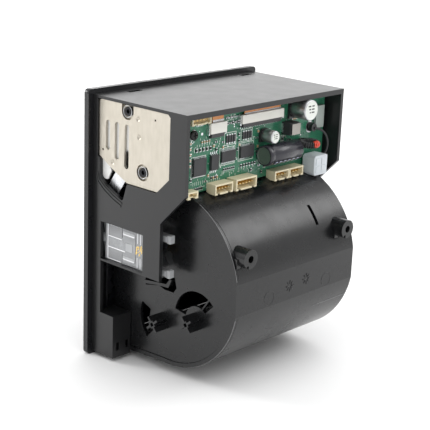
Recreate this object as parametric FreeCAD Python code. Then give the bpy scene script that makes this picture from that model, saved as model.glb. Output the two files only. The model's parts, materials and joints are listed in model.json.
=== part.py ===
"""Panel-mount receipt printer for 80 mm thermal paper, seen as its separate pieces.

Frame: origin at the centre of the flange's rear face, +X to the right seen from
the front, +Y from the front panel into the cabinet, +Z up.  Millimetres.
"""
import FreeCAD, Part
import math
import os

Vec = FreeCAD.Vector

# ---- driving dimensions -------------------------------------------------------
PAPER_W = 80.0

FLANGE_W = 116.0
FLANGE_TOP = 66.2
FLANGE_BOTTOM = -66.2
FLANGE_T = 3.0

BODY_HALF = 55.0
BODY_TOP = 63.9
BODY_BOTTOM = -64.4
SHELL_DEPTH = 61.5
WALL = 2.0
SEAT_DEPTH = 0.5
SEAT_GAP = 0.05

BUCKET_R = 43.5
BUCKET_Y = 41.0
BUCKET_Z = -18.0
BUCKET_X0 = -41.5
BUCKET_X1 = 43.4
BUCKET_FACET_Y = 83.8
BUCKET_FLOOR_SLOPE = 3.0
BUCKET_MOUTH_Y = 22.6
BUCKET_FRONT_Y = 3.0

BOSS_X = (37.2, -32.8)
BOSS_Z = 1.2
BOSS_END_Y = 86.0
BOSS_R = 4.5
BOSS_HOLE_R = 1.7

DOOR_HALF = 46.2
DOOR_TOP = 32.4
DOOR_PIVOT_Y = -0.8
DOOR_PIVOT_Z = -57.8
DOOR_KNUCKLE_R = 2.2
DOOR_GAP = 0.5
DOOR_BACK = -0.2
HINGE_PIN_R = 1.0
RUNNING_GAP = 0.05

EXIT_TOP = 37.2
TEAR_T = 1.0

PLATEN_Y = 9.2
PLATEN_Z = 28.6
PLATEN_R = 6.0
PLATEN_SHAFT_R = 2.0
ARM_X0 = 42.1
ARM_X1 = 43.5

CHEEK_X0 = 40.7
CHEEK_X1 = 41.7

GEAR_MODULE = 0.5
PLATEN_TEETH = 24
IDLER_TEETH = 46
PINION_TEETH = 12
GEAR_X0 = 43.9
GEAR_X1 = 45.9
IDLER_DIRECTION = 50.0
PINION_DIRECTION = 10.0

HEAD_GAP = 0.3
HEAD_PIVOT_Y = 23.5
HEAD_PIVOT_Z = 37.3
HEAD_TOP = 39.0
SPRING_BEAM_Z = 47.0
HEAD_SPRING_X = 20.0
HEAD_SPRING_Y = 10.0
SPRING_END_GAP = 0.05

PLATE_X0 = 53.0
PLATE_X1 = 54.2
PLATE_GAP = 0.3
PLATE_SCREWS = ((22.7, 59.2), (33.3, 32.7))
CUP_R = 3.9
CUP_T = 0.7
CUP_FLOOR_X = 52.4

LATCH_X0 = 50.9
LATCH_X1 = 51.9
COVER_X1 = 52.7
LATCH_PIVOT_Y = 25.6
LATCH_PIVOT_Z = 41.5

BUTTON_X0 = 45.0
BUTTON_X1 = 52.6
BUTTON_Y0 = 6.8
BUTTON_Y1 = 35.5
BUTTON_Z0 = -15.0
BUTTON_Z1 = 3.2
BUTTON_AXIS_X = 49.4
BUTTON_AXIS_Z = -5.9
BUTTON_CAVITY_R = 3.2

FEED_X = -51.6
FEED_Z = -4.0
LENS_Z = 9.0

BOARD_Y0 = 50.9
BOARD_Y1 = 52.5
BOARD_X0 = -51.5
BOARD_X1 = 51.0
BOARD_Z0 = 24.9
BOARD_Z1 = 61.2
BOARD_SCREWS = ((41.9, 51.9), (-40.7, 45.0))


# ---- helpers --------------------------------------------------------------------
def box(x0, x1, y0, y1, z0, z1):
    return Part.makeBox(x1 - x0, y1 - y0, z1 - z0, Vec(x0, y0, z0))


def rod_x(y, z, radius, x0, x1):
    return Part.makeCylinder(radius, x1 - x0, Vec(x0, y, z), Vec(1, 0, 0))


def rod_y(x, z, radius, y0, y1):
    return Part.makeCylinder(radius, y1 - y0, Vec(x, y0, z), Vec(0, 1, 0))


def rod_z(x, y, radius, z0, z1):
    return Part.makeCylinder(radius, z1 - z0, Vec(x, y, z0), Vec(0, 0, 1))


def tube_x(y, z, outer, inner, x0, x1):
    return rod_x(y, z, outer, x0, x1).cut(rod_x(y, z, inner, x0, x1))


def side_prism(points, x0, x1):
    """Extrude a closed outline of (y, z) points along X."""
    ring = [Vec(x0, y, z) for y, z in points]
    face = Part.Face(Part.makePolygon(ring + [ring[0]]))
    return face.extrude(Vec(x1 - x0, 0, 0))


def front_prism(points, y0, y1):
    """Extrude a closed outline of (x, z) points along Y."""
    ring = [Vec(x, y0, z) for x, z in points]
    face = Part.Face(Part.makePolygon(ring + [ring[0]]))
    return face.extrude(Vec(0, y1 - y0, 0))


def fuse(shapes):
    whole = shapes[0].fuse(shapes[1:]) if len(shapes) > 1 else shapes[0]
    return whole.removeSplitter()


def cut(shape, tools):
    for tool in tools:
        shape = shape.cut(tool)
    return shape


def mirror_x(shape):
    return shape.mirror(Vec(0, 0, 0), Vec(1, 0, 0))


def polar(y, z, radius, angle):
    turn = math.radians(angle)
    return (y + radius * math.cos(turn), z + radius * math.sin(turn))


def ring_sector(y, z, inner, outer, start, end, x0, x1):
    """Part of a flat ring about an X axis, between two angles from +Y towards +Z."""
    steps = 14
    angles = [start + (end - start) * i / steps for i in range(steps + 1)]
    rim = [polar(y, z, outer, a) for a in angles]
    hub = [polar(y, z, inner, a) for a in reversed(angles)]
    return side_prism(rim + hub, x0, x1)


def screw_y(x, z, head_r, shank_r, seat_y, shank_y):
    """Pan-head screw seen from behind, head on seat_y, shank down to shank_y."""
    head = rod_y(x, z, head_r, seat_y, seat_y + 1.3)
    head = head.makeChamfer(0.4, [head.Edges[0]])
    slots = fuse([box(x - 1.5, x + 1.5, seat_y + 0.6, seat_y + 2, z - 0.3, z + 0.3),
                  box(x - 0.3, x + 0.3, seat_y + 0.6, seat_y + 2, z - 1.5, z + 1.5)])
    return head.cut(slots).fuse(rod_y(x, z, shank_r, shank_y, seat_y)).removeSplitter()


PARTS_FOLDER = "parts"
os.makedirs(PARTS_FOLDER, exist_ok=True)


def save(node, shapes):
    solids = shapes if isinstance(shapes, list) else [shapes]
    loose = [piece for shape in solids for piece in shape.Solids]
    for piece in loose:
        if not piece.isValid():
            print("invalid solid in", node)
    whole = loose[0] if len(loose) == 1 else Part.makeCompound(loose)
    whole.exportStep(os.path.join(PARTS_FOLDER, node + ".step"))


# ---- front: bezel, door, tear bar -------------------------------------------------
def front_bezel():
    half = FLANGE_W / 2
    plate = box(-half, half, -FLANGE_T, 0, FLANGE_BOTTOM, FLANGE_TOP)
    corners = [e for e in plate.Edges if e.Length == FLANGE_T]
    plate = plate.makeFillet(2.0, corners)
    # the shell stands in a shallow seat, so that the rim round it is one flat face
    seat = box(-BODY_HALF - SEAT_GAP, BODY_HALF + SEAT_GAP, -SEAT_DEPTH, 1,
               BODY_BOTTOM - SEAT_GAP, BODY_TOP + SEAT_GAP)
    plate = plate.cut(seat)
    opening_bottom = DOOR_PIVOT_Z - DOOR_KNUCKLE_R - DOOR_GAP
    opening = box(-DOOR_HALF - DOOR_GAP, DOOR_HALF + DOOR_GAP, -FLANGE_T - 1, 1,
                  opening_bottom, EXIT_TOP + TEAR_T)
    button_hole = box(BUTTON_X0 + 2.55, BUTTON_X1 + 0.35, -FLANGE_T - 1, 1, -14.35, 2.55)
    feed_hole = rod_y(FEED_X, FEED_Z, 3.85, -FLANGE_T - 1, 1)
    lens_hole = rod_y(FEED_X, LENS_Z, 2.0, -FLANGE_T - 1, 1)
    pin_holes = [rod_x(DOOR_PIVOT_Y, DOOR_PIVOT_Z, HINGE_PIN_R, side * 50 - 4, side * 50 + 4)
                 for side in (-1, 1)]
    # hinge ears stand behind the flange, beside the door's lower corners
    ears = [box(DOOR_HALF + DOOR_GAP, 50.0, -1, 1.6, -60.3, -54.5),
            box(-50.0, -DOOR_HALF - DOOR_GAP, -1, 1.6, -60.3, -54.5)]
    body = fuse([plate] + ears)
    return cut(body, [opening, button_hole, feed_hole, lens_hole] + pin_holes)


def hinge_pins():
    return [rod_x(DOOR_PIVOT_Y, DOOR_PIVOT_Z, HINGE_PIN_R, 42.0, 50.0),
            rod_x(DOOR_PIVOT_Y, DOOR_PIVOT_Z, HINGE_PIN_R, -50.0, -42.0)]


def front_door():
    panel = box(-DOOR_HALF, DOOR_HALF, -FLANGE_T, DOOR_BACK, DOOR_PIVOT_Z, DOOR_TOP)
    panel = panel.makeFillet(1.2, [e for e in panel.Edges
                                   if e.BoundBox.ZMin > DOOR_TOP - 0.1 and e.Length > 50
                                   and e.BoundBox.YMax < -1])
    knuckle = rod_x(DOOR_PIVOT_Y, DOOR_PIVOT_Z, DOOR_KNUCKLE_R, -DOOR_HALF, DOOR_HALF)
    ribs = [box(x - 0.8, x + 0.8, -0.5, 2.4, -52, 30) for x in (-30, -10, 10, 30)]
    grip = box(-14, 14, -FLANGE_T - 1, -1.8, 22, 27)
    bores = [rod_x(DOOR_PIVOT_Y, DOOR_PIVOT_Z, HINGE_PIN_R + RUNNING_GAP, side * 44 - 2.6, side * 44 + 2.6)
             for side in (-1, 1)]
    return cut(fuse([panel, knuckle] + ribs), [grip] + bores)


def platen_carrier():
    """Steel yoke behind the door's top edge: a crossbar and an arm at each end."""
    bar = box(-ARM_X1, ARM_X1, DOOR_BACK, 1.2, 13.2, 30.5)
    bar = cut(bar, [box(x - 0.9, x + 0.9, -1, 2, 13, 30.1) for x in (-30, -10, 10, 30)])
    arm_outline = [(DOOR_BACK, 13.2), (4.5, 13.2), (13.4, 25.5), (13.6, 30.5), (11.5, 33.0),
                   (6.5, 33.0), (DOOR_BACK, 30.5)]
    arms = []
    for side in (1, -1):
        arm = side_prism(arm_outline, ARM_X0, ARM_X1)
        arms.append(arm if side > 0 else mirror_x(arm))
    bores = rod_x(PLATEN_Y, PLATEN_Z, 3.2, -50, 50)
    return fuse([bar] + arms).cut(bores)


def platen_bushes():
    bush = fuse([rod_x(PLATEN_Y, PLATEN_Z, 3.2, 41.0, 43.6), rod_x(PLATEN_Y, PLATEN_Z, 3.9, 41.75, 42.05)])
    bush = bush.cut(rod_x(PLATEN_Y, PLATEN_Z, PLATEN_SHAFT_R + RUNNING_GAP, 40, 45))
    return [bush, mirror_x(bush)]


def tear_bar():
    """Serrated steel strip along the top of the paper exit."""
    half = PAPER_W / 2 + 1.5
    pitch = 1.6
    count = int(2 * half / pitch)
    points = [(half, 2.4), (-half, 2.4)]
    for i in range(count):
        left = -half + 2 * half * i / count
        points += [(left, -1.4), (left + half / count, -2.4)]
    points.append((half, -1.4))
    ring = [Vec(x, y, EXIT_TOP) for x, y in points]
    return Part.Face(Part.makePolygon(ring + [ring[0]])).extrude(Vec(0, 0, TEAR_T))


# ---- housing shell ---------------------------------------------------------------
SIDE_OUTLINE = [(-SEAT_DEPTH, BODY_BOTTOM), (15.25, BODY_BOTTOM), (15.25, -42.7), (5.8, -42.7),
                (5.8, -16.1), (46.3, -16.1), (46.3, 11.7), (SHELL_DEPTH, 27.2), (SHELL_DEPTH, BODY_TOP),
                (-SEAT_DEPTH, BODY_TOP)]

PLATE_OUTLINE = [(3.4, 35.4), (13.5, 30.0), (22.8, 25.6), (42.9, 25.6), (50.8, 33.2),
                 (50.8, 61.0), (49.4, 62.2), (3.4, 62.2)]

GEAR_WINDOW = [(4.6, 40.0), (4.6, 26.0), (5.6, 24.2), (9.1, 21.7), (14.8, 18.9), (20.2, 16.9),
               (21.3, 17.6), (21.9, 19.7), (23.9, 26.0), (23.9, 40.0)]


def grown(points, gap):
    """Outline moved outwards by gap, as a list of (y, z) points."""
    ring = [Vec(0, y, z) for y, z in points]
    wire = Part.makePolygon(ring + [ring[0]])
    return wire.makeOffset2D(gap, 2)


def plate_hole(gap, x0, x1):
    face = Part.Face(grown(PLATE_OUTLINE, gap))
    face.translate(Vec(x0, 0, 0))
    return face.extrude(Vec(x1 - x0, 0, 0))


def main_shell():
    inner = BODY_HALF - WALL
    right = side_prism(SIDE_OUTLINE, inner, BODY_HALF)
    left = mirror_x(right)
    roof = box(-BODY_HALF, BODY_HALF, -SEAT_DEPTH, SHELL_DEPTH, BODY_TOP - WALL, BODY_TOP)
    blocks = [box(BUCKET_X1, inner, BUCKET_FRONT_Y, 15.25, BODY_BOTTOM, -42.7),
              box(-inner, BUCKET_X0, BUCKET_FRONT_Y, 15.25, BODY_BOTTOM, -42.7)]
    lugs = [box(38.4, inner, 46.9, BOARD_Y0, 48.0, 56.0), box(-inner, -36.8, 46.9, BOARD_Y0, 41.0, 49.0)]
    rails = [box(-BODY_HALF, BODY_HALF, 57.9, SHELL_DEPTH, BODY_TOP - WALL - 0.5, BODY_TOP - WALL)]
    shell = fuse([right, left, roof] + blocks + lugs + rails)
    pockets = [box(x, x + 1.9, 8.0, 16, -60.8, -56.8) for x in (44.6, 50.7, -52.6, -46.5)]
    window = box(inner - 1, BODY_HALF + 1, 5.7, 35.1, -15.1, 3.5)
    gear_window = side_prism(GEAR_WINDOW, inner - 1, BODY_HALF + 1)
    plate_holes = [plate_hole(PLATE_GAP, inner - 1, BODY_HALF + 1),
                   plate_hole(PLATE_GAP, -BODY_HALF - 1, -inner + 1)]
    roof_slots = [box(30.7, 38.7, 4.6, 7.2, 60, 65), box(-47.3, -39.8, 4.6, 7.2, 60, 65)]
    screw_pilots = [rod_y(x, z, 1.2, 48.0, 51.5) for x, z in BOARD_SCREWS]
    return cut(shell, pockets + [window, gear_window] + plate_holes + roof_slots + screw_pilots)


def gear_window_lips():
    """Two raised curved lips that follow the lower edge of the gear window."""
    lower = [(3.2, 27.0), (4.4, 23.4), (8.4, 20.3), (14.3, 17.3), (20.4, 15.0)]
    solids = []
    for shift in (0.0, 1.5):
        outer = [(y - shift * 0.4, z - shift) for y, z in lower]
        inner_side = [(y + 0.3, z + 0.75) for y, z in reversed(outer)]
        solids.append(side_prism(outer + inner_side, BODY_HALF, BODY_HALF + 0.35))
    return solids


def screw_cup(y, z):
    """Cup drawn inwards from the side plate, with a hole for the screw in its floor."""
    wall_r = CUP_R + CUP_T
    cup = rod_x(y, z, wall_r, CUP_FLOOR_X - CUP_T, PLATE_X0)
    cup = cup.cut(rod_x(y, z, CUP_R, CUP_FLOOR_X, PLATE_X0 + 1))
    cup = cup.cut(box(50, 55, y - 6, y + 6, BODY_TOP - WALL - 0.3, 70))
    return cup.cut(rod_x(y, z, 1.6, 50, 55))


def side_plate(near):
    plate = side_prism(PLATE_OUTLINE, PLATE_X0, PLATE_X1)
    upright = [e for e in plate.Edges if e.BoundBox.XLength > 1]
    plate = plate.makeFillet(1.6, upright)
    slots = []
    for y, bottom in ((9.4, 40.4), (15.6, 36.9), (22.3, 33.7)):
        slots.append(rod_x(y, 51.6, 1.45, 52, 55))
        slots.append(rod_x(y, bottom, 1.45, 52, 55))
        slots.append(box(52, 55, y - 1.45, y + 1.45, bottom, 51.6))
    top_y, top_z = PLATE_SCREWS[0]
    openings = [rod_x(y, z, CUP_R, 52, 55) for y, z in PLATE_SCREWS]
    openings.append(box(52, 55, top_y - CUP_R, top_y + CUP_R, top_z, 65))
    pin_holes = [rod_x(40.8, 58.2, 0.5, 52, 55), rod_x(6.1, 38.6, 0.5, 52, 55)]
    dimples = [Part.makeSphere(1.7, Vec(PLATE_X1 + 1.1, y, z))
               for y, z in ((29.6, 56.8), (30.5, 48.6), (12.8, 33.7))]
    plate = cut(plate, slots + openings + pin_holes + dimples)
    plate = fuse([plate] + [screw_cup(y, z) for y, z in PLATE_SCREWS])
    return plate if near else mirror_x(plate)


def side_plate_screws():
    near = []
    for y, z in PLATE_SCREWS:
        head = rod_x(y, z, 2.2, CUP_FLOOR_X, CUP_FLOOR_X + 1.6)
        ring = [polar(y, z, 1.15, a) for a in range(0, 360, 60)]
        socket = side_prism(ring, CUP_FLOOR_X + 0.6, CUP_FLOOR_X + 3)
        near.append(fuse([head.cut(socket), rod_x(y, z, 1.5, 49.0, CUP_FLOOR_X)]))
    return near + [mirror_x(s) for s in near]


def plate_standoffs():
    near = []
    for y, z in PLATE_SCREWS:
        post = rod_x(y, z, 2.5, CHEEK_X1, CUP_FLOOR_X - CUP_T)
        near.append(post.cut(rod_x(y, z, 1.5, 48.9, 54)))
    return near + [mirror_x(p) for p in near]


# ---- paper bucket -----------------------------------------------------------------
def bucket_solid(radius, facet_y, front_y, x0, x1):
    """Drum with a flat rear facet and a sloping floor that runs to the front."""
    slope = math.radians(BUCKET_FLOOR_SLOPE)
    contact = polar(BUCKET_Y, BUCKET_Z, radius, -90 - BUCKET_FLOOR_SLOPE)
    run = contact[0] - front_y
    floor_front = (front_y, contact[1] - run * math.tan(slope))
    wedge = side_prism([floor_front, contact, (BUCKET_Y, BUCKET_Z), (front_y, BUCKET_Z)], x0, x1)
    drum = rod_x(BUCKET_Y, BUCKET_Z, radius, x0, x1)
    keep = box(x0 - 1, x1 + 1, front_y - 1, facet_y, -80, 60)
    return fuse([drum, wedge]).common(keep)


def bucket_side(x0, x1, radius, facet_y):
    """Flat end of the bucket, with a straight front part that reaches towards the bezel."""
    disc = bucket_solid(radius, facet_y, BUCKET_FRONT_Y, x0, x1)
    front = box(x0, x1, BUCKET_FRONT_Y, BUCKET_Y, -50, 12)
    return fuse([disc, front])


def boss(x):
    """Screw boss on the drum's upper rear, with a notched foot below it."""
    tower = rod_y(x, BOSS_Z, BOSS_R, 70, BOSS_END_Y)
    foot = box(x - 1.0, x + 5.2, 70, BOSS_END_Y - 3.6, BOSS_Z - 4.4, BOSS_Z)
    notch = [box(x + 1.2, x + 2.6, 70, 88, BOSS_Z - 6, BOSS_Z - 2.8)]
    whole = cut(fuse([tower, foot]), notch)
    inside = bucket_solid(BUCKET_R - 0.4, BUCKET_FACET_Y, BUCKET_FRONT_Y, x - 10, x + 10)
    return whole.cut(inside)


def paper_bucket():
    outer = bucket_solid(BUCKET_R, BUCKET_FACET_Y, BUCKET_FRONT_Y, BUCKET_X0, BUCKET_X1)
    hollow = bucket_solid(BUCKET_R - WALL, BUCKET_FACET_Y - WALL, -2, BUCKET_X0 + WALL, BUCKET_X1 + 1)
    mouth = box(BUCKET_X0 + WALL, BUCKET_X1 + 1, -5, BUCKET_MOUTH_Y, BUCKET_Z, 40)
    skin = cut(outer, [hollow, mouth])
    far_wall = bucket_side(BUCKET_X0, BUCKET_X0 + WALL, BUCKET_R, BUCKET_FACET_Y)
    vent = ring_sector(BUCKET_Y, BUCKET_Z, BUCKET_R - 4, BUCKET_R + 3, 31, 45, -19.9, -17.9)
    slit = box(-24, -23, 44, 50, -70, -55)
    whole = fuse([skin, far_wall] + [boss(x) for x in BOSS_X])
    holes = [rod_y(x, BOSS_Z, BOSS_HOLE_R, 79.0, 90) for x in BOSS_X]
    return cut(whole, holes + [vent, slit])


END_WALL_X0 = 41.2
END_WALL_X1 = 43.0
POSTS = ((37.6, -40.9), (59.6, -34.5))


def cross_post(y, z):
    """Four-ribbed post with a small square core hole, turned 45 degrees."""
    arms = [box(END_WALL_X1, 50.5, y - 4.2, y + 4.2, z - 0.5, z + 0.5),
            box(END_WALL_X1, 50.5, y - 0.5, y + 0.5, z - 4.2, z + 4.2),
            box(END_WALL_X1, 50.5, y - 1.5, y + 1.5, z - 1.5, z + 1.5)]
    post = fuse(arms).cut(box(45, 51, y - 0.9, y + 0.9, z - 0.9, z + 0.9))
    return post.rotate(Vec(0, y, z), Vec(1, 0, 0), 40)


def bucket_end_wall():
    gap = 0.2
    wall = bucket_side(END_WALL_X0, END_WALL_X1, BUCKET_R - WALL - gap, BUCKET_FACET_Y - WALL - gap)
    first = ring_sector(POSTS[0][0], POSTS[0][1], 9.2, 15.8, 158, 226, 40, 44)
    second = ring_sector(POSTS[1][0], POSTS[1][1], 7.2, 14.3, 45, 171, 40, 44)
    rib = side_prism([polar(*POSTS[1], 7.0, 62), polar(*POSTS[1], 14.5, 58),
                      polar(*POSTS[1], 14.5, 61), polar(*POSTS[1], 7.0, 67)], END_WALL_X0, END_WALL_X1)
    # flexible tongue between two openings, hooked up at its free end
    tongue_gap = side_prism([(25.0, -22.0), (34.0, -21.4), (39.0, -17.4), (44.6, -17.4), (46.0, -22.2),
                             (44.0, -24.9), (38.0, -25.0), (34.2, -23.9), (25.0, -26.0)], 40, 44)
    tongue = side_prism([(25.0, -25.0), (25.0, -23.2), (34.0, -22.1), (40.2, -21.4), (42.4, -18.4),
                         (43.7, -18.7), (41.6, -22.9), (34.2, -23.4)], END_WALL_X0, END_WALL_X1 + 1.2)
    wall = cut(wall, [first, second, tongue_gap])
    return fuse([wall, rib, tongue] + [cross_post(y, z) for y, z in POSTS])


# ---- print mechanism ---------------------------------------------------------------
IDLER_AT = polar(PLATEN_Y, PLATEN_Z, GEAR_MODULE * (PLATEN_TEETH + IDLER_TEETH) / 2, IDLER_DIRECTION)
MOTOR_AT = polar(*IDLER_AT, GEAR_MODULE * (IDLER_TEETH + PINION_TEETH) / 2, PINION_DIRECTION)
MOTOR_R = 10.0
MOTOR_X0 = 16.0


def mech_chassis():
    """Folded steel chassis: a top web and two cheeks with slots for the platen."""
    outline = [(4, 22), (16, 22), (24, 26.2), (46, 26.2), (46, 60.7), (14, 60.7), (4, 52)]
    cheek = side_prism(outline, CHEEK_X0, CHEEK_X1)
    slot = box(40, 43, 0, PLATEN_Y, PLATEN_Z - 3.5, PLATEN_Z + 4.4)
    seat = rod_x(PLATEN_Y, PLATEN_Z, 3.5, 40, 43)
    relief = box(40, 43, PLATEN_Y, PLATEN_Y + 1.2, PLATEN_Z, PLATEN_Z + 4.4)
    rod_hole = rod_x(HEAD_PIVOT_Y, HEAD_PIVOT_Z, 1.5, 40, 43)
    right = cut(cheek, [slot, seat, relief, rod_hole, rod_x(*MOTOR_AT, 4.0, 40, 43)])
    web = box(-CHEEK_X1, CHEEK_X1, 14, 46, 59.5, 60.7)
    window = box(-28, 28, 20, 40, 59, 61)
    return fuse([right, mirror_x(cut(cheek, [slot, seat, relief, rod_hole])), web.cut(window)])


def spring_beam():
    beam = fuse([box(-CHEEK_X0, CHEEK_X0, 5, 16, SPRING_BEAM_Z, SPRING_BEAM_Z + 1.2),
                 box(-CHEEK_X0, CHEEK_X0, 14.8, 16, SPRING_BEAM_Z, SPRING_BEAM_Z + 6)])
    pegs = [rod_z(x, HEAD_SPRING_Y, 1.6, SPRING_BEAM_Z - 2.5, SPRING_BEAM_Z)
            for x in (-HEAD_SPRING_X, HEAD_SPRING_X)]
    return fuse([beam] + pegs)


def head_springs():
    tubes = []
    for x in (-HEAD_SPRING_X, HEAD_SPRING_X):
        outer = rod_z(x, HEAD_SPRING_Y, 2.6, HEAD_TOP + SPRING_END_GAP, SPRING_BEAM_Z)
        tubes.append(outer.cut(rod_z(x, HEAD_SPRING_Y, 1.8, HEAD_TOP, SPRING_BEAM_Z)))
    return tubes


def head_ceramic():
    bottom = PLATEN_Z + PLATEN_R + HEAD_GAP
    return box(-PAPER_W / 2, PAPER_W / 2, 3.6, 15.0, bottom, bottom + 0.8)


def head_heatsink():
    bottom = PLATEN_Z + PLATEN_R + HEAD_GAP + 0.8
    slab = box(-39.5, 39.5, 3.0, HEAD_PIVOT_Y, bottom, HEAD_TOP)
    fins = [box(-39.5, 39.5, y, y + 1.2, HEAD_TOP - 1.2, HEAD_TOP + 0.1) for y in (14.5, 17.3, 20.1)]
    slab = cut(slab, fins)
    ears = [rod_x(HEAD_PIVOT_Y, HEAD_PIVOT_Z, 2.7, x - 4, x + 4) for x in (-34, -10, 11)]
    ears.append(rod_x(HEAD_PIVOT_Y, HEAD_PIVOT_Z, 2.7, 33, 39.5))
    tunnel = rod_x(HEAD_PIVOT_Y, HEAD_PIVOT_Z, 1.5 + RUNNING_GAP, -45, 45)
    return fuse([slab] + ears).cut(tunnel)


def head_pivot_rod():
    return rod_x(HEAD_PIVOT_Y, HEAD_PIVOT_Z, 1.5, -42.6, 42.6)


def gear(y, z, teeth, phase, bore_r, x0, x1):
    """Spur gear about an X axis, one tooth centred at the phase angle."""
    pitch_r = GEAR_MODULE * teeth / 2
    step = 360.0 / teeth
    root_r = pitch_r - 1.3 * GEAR_MODULE
    tip_r = pitch_r + 0.9 * GEAR_MODULE
    outline = []
    for i in range(teeth):
        centre = phase + i * step
        for radius, share in ((root_r, -0.33), (tip_r, -0.12), (tip_r, 0.12), (root_r, 0.33)):
            outline.append(polar(y, z, radius, centre + share * step))
    return side_prism(outline, x0, x1).cut(rod_x(y, z, bore_r, x0 - 1, x1 + 1))


def gear_phases():
    """Tooth phase of each gear so that the train is in mesh at rest."""
    idler_step = 360.0 / IDLER_TEETH
    idler = IDLER_DIRECTION + 180 + idler_step / 2
    share = ((PINION_DIRECTION - idler) / idler_step) % 1.0
    pinion = PINION_DIRECTION + 180 + (share + 0.5) * 360.0 / PINION_TEETH
    return IDLER_DIRECTION, idler, pinion


PLATEN_PHASE, IDLER_PHASE, PINION_PHASE = gear_phases()


def platen_rubber():
    half = PAPER_W / 2
    return rod_x(PLATEN_Y, PLATEN_Z, PLATEN_R, -half, half).cut(
        rod_x(PLATEN_Y, PLATEN_Z, PLATEN_SHAFT_R, -half, half))


def platen_shaft():
    return rod_x(PLATEN_Y, PLATEN_Z, PLATEN_SHAFT_R, -44.4, 46.4)


def platen_gear():
    return gear(PLATEN_Y, PLATEN_Z, PLATEN_TEETH, PLATEN_PHASE, PLATEN_SHAFT_R, GEAR_X0, GEAR_X1)


def idler_gear():
    wheel = gear(*IDLER_AT, IDLER_TEETH, IDLER_PHASE, 2.0 + RUNNING_GAP, GEAR_X0, GEAR_X1)
    return cut(wheel, [ring_sector(*IDLER_AT, 4.2, 9.4, a, a + 48, GEAR_X0 - 1, GEAR_X1 + 1)
                       for a in range(0, 360, 60)])


def idler_post():
    y, z = IDLER_AT
    return fuse([rod_x(y, z, 2.0, CHEEK_X1, 46.4), rod_x(y, z, 3.0, CHEEK_X1, GEAR_X0 - 0.3),
                 rod_x(y, z, 2.8, 46.2, 47.0)])


def motor_can():
    y, z = MOTOR_AT
    can = rod_x(y, z, MOTOR_R, MOTOR_X0, CHEEK_X0 - 1.0)
    flange = fuse([rod_x(y, z, MOTOR_R, CHEEK_X0 - 1.0, CHEEK_X0),
                   rod_x(y, z, 3.6, CHEEK_X0, CHEEK_X1 + 0.8)])
    groove = rod_x(y, z, MOTOR_R + 1, 27.6, 28.4).cut(rod_x(y, z, MOTOR_R - 0.5, 27.6, 28.4))
    return fuse([can, flange]).cut(groove).cut(rod_x(y, z, 1.0 + RUNNING_GAP, 20, 44))


def motor_shaft():
    return rod_x(*MOTOR_AT, 1.0, 20.5, 46.4)


def motor_pinion():
    return gear(*MOTOR_AT, PINION_TEETH, PINION_PHASE, 1.0, GEAR_X0, GEAR_X1)


# ---- release button and latch --------------------------------------------------------
def release_button():
    """Clear sliding block with a round neck and a flat key on the front."""
    block = box(BUTTON_X0, BUTTON_X1, BUTTON_Y0, BUTTON_Y1, BUTTON_Z0, BUTTON_Z1)
    cavity = rod_y(BUTTON_AXIS_X, BUTTON_AXIS_Z, BUTTON_CAVITY_R, BUTTON_Y0 + 3, BUTTON_Y1 + 1)
    side_pockets = [box(BUTTON_X0 - 1, BUTTON_X1 - 1.2, BUTTON_Y0 + 12, BUTTON_Y1 - 4, z, z + 2.6)
                    for z in (BUTTON_Z0 + 1.6, BUTTON_Z1 - 4.2)]
    neck = rod_y(BUTTON_AXIS_X + 0.9, BUTTON_AXIS_Z, 2.0, -3, BUTTON_Y0)
    key = box(BUTTON_X0 + 2.9, BUTTON_X1, -6.4, -1.9, -14, 2.2)
    key = key.makeFillet(0.8, [e for e in key.Edges if e.BoundBox.YMax < -6.3])
    return fuse([cut(block, [cavity] + side_pockets), neck, key])


def button_spring():
    outer = rod_y(BUTTON_AXIS_X, BUTTON_AXIS_Z, 2.8, BUTTON_Y0 + 3 + SPRING_END_GAP, 30.5)
    return outer.cut(rod_y(BUTTON_AXIS_X, BUTTON_AXIS_Z, 2.0, BUTTON_Y0 + 3, 30.5))


def button_stud():
    """Brass spring seat that reaches into the clear block."""
    return fuse([rod_y(BUTTON_AXIS_X, BUTTON_AXIS_Z, 2.7, 30.5, 32.0),
                 rod_y(BUTTON_AXIS_X, BUTTON_AXIS_Z, 1.6, 32.0, 35.0),
                 rod_y(BUTTON_AXIS_X, BUTTON_AXIS_Z, 2.3, 35.0, 40.0)])


def button_carrier():
    """Backplate of the button, on a foot at the shell's side wall, with two tabs to the rear."""
    plate = box(48.6, LATCH_X0 - 0.3, 40.0, 41.9, -15.5, 5.9)
    foot = box(LATCH_X0 - 0.3, BODY_HALF - WALL, 40.0, 41.9, -15.5, -3.0)
    tabs = [box(48.6, 51.4, 43.2, 49.4, z, z + 3.6) for z in (2.0, -14.6)]
    roots = [box(48.6, LATCH_X0 - 0.3, 41.9, 43.2, z, z + 3.6) for z in (2.0, -14.6)]
    return fuse([plate, foot] + roots + tabs)


def latch_lever():
    """Steel lever: a broad arm down to the platen, a tail down to the button."""
    arm_half = 3.7
    turn = math.atan2(-0.83, -0.555)
    along = (math.cos(turn), math.sin(turn))
    across = (-along[1], along[0])

    def at(distance, offset):
        return (LATCH_PIVOT_Y + distance * along[0] + offset * across[0],
                LATCH_PIVOT_Z + distance * along[1] + offset * across[1])

    arm = side_prism([at(-2, arm_half), at(26.5, arm_half), at(28.5, 1.5), at(28.5, -arm_half),
                      at(-2, -arm_half)], LATCH_X0, LATCH_X1)
    hub = rod_x(LATCH_PIVOT_Y, LATCH_PIVOT_Z, 4.6, LATCH_X0, LATCH_X1)
    tail = side_prism([(22.4, 38.0), (27.0, 38.4), (27.2, 28.0), (30.4, 14.0), (38.4, 7.0), (38.4, 0.2),
                       (35.9, 0.2), (35.9, 4.2), (26.8, 11.4), (23.4, 28.0)], LATCH_X0, LATCH_X1)
    return fuse([arm, hub, tail]).cut(rod_x(LATCH_PIVOT_Y, LATCH_PIVOT_Z, 1.55, 50, 54))


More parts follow.
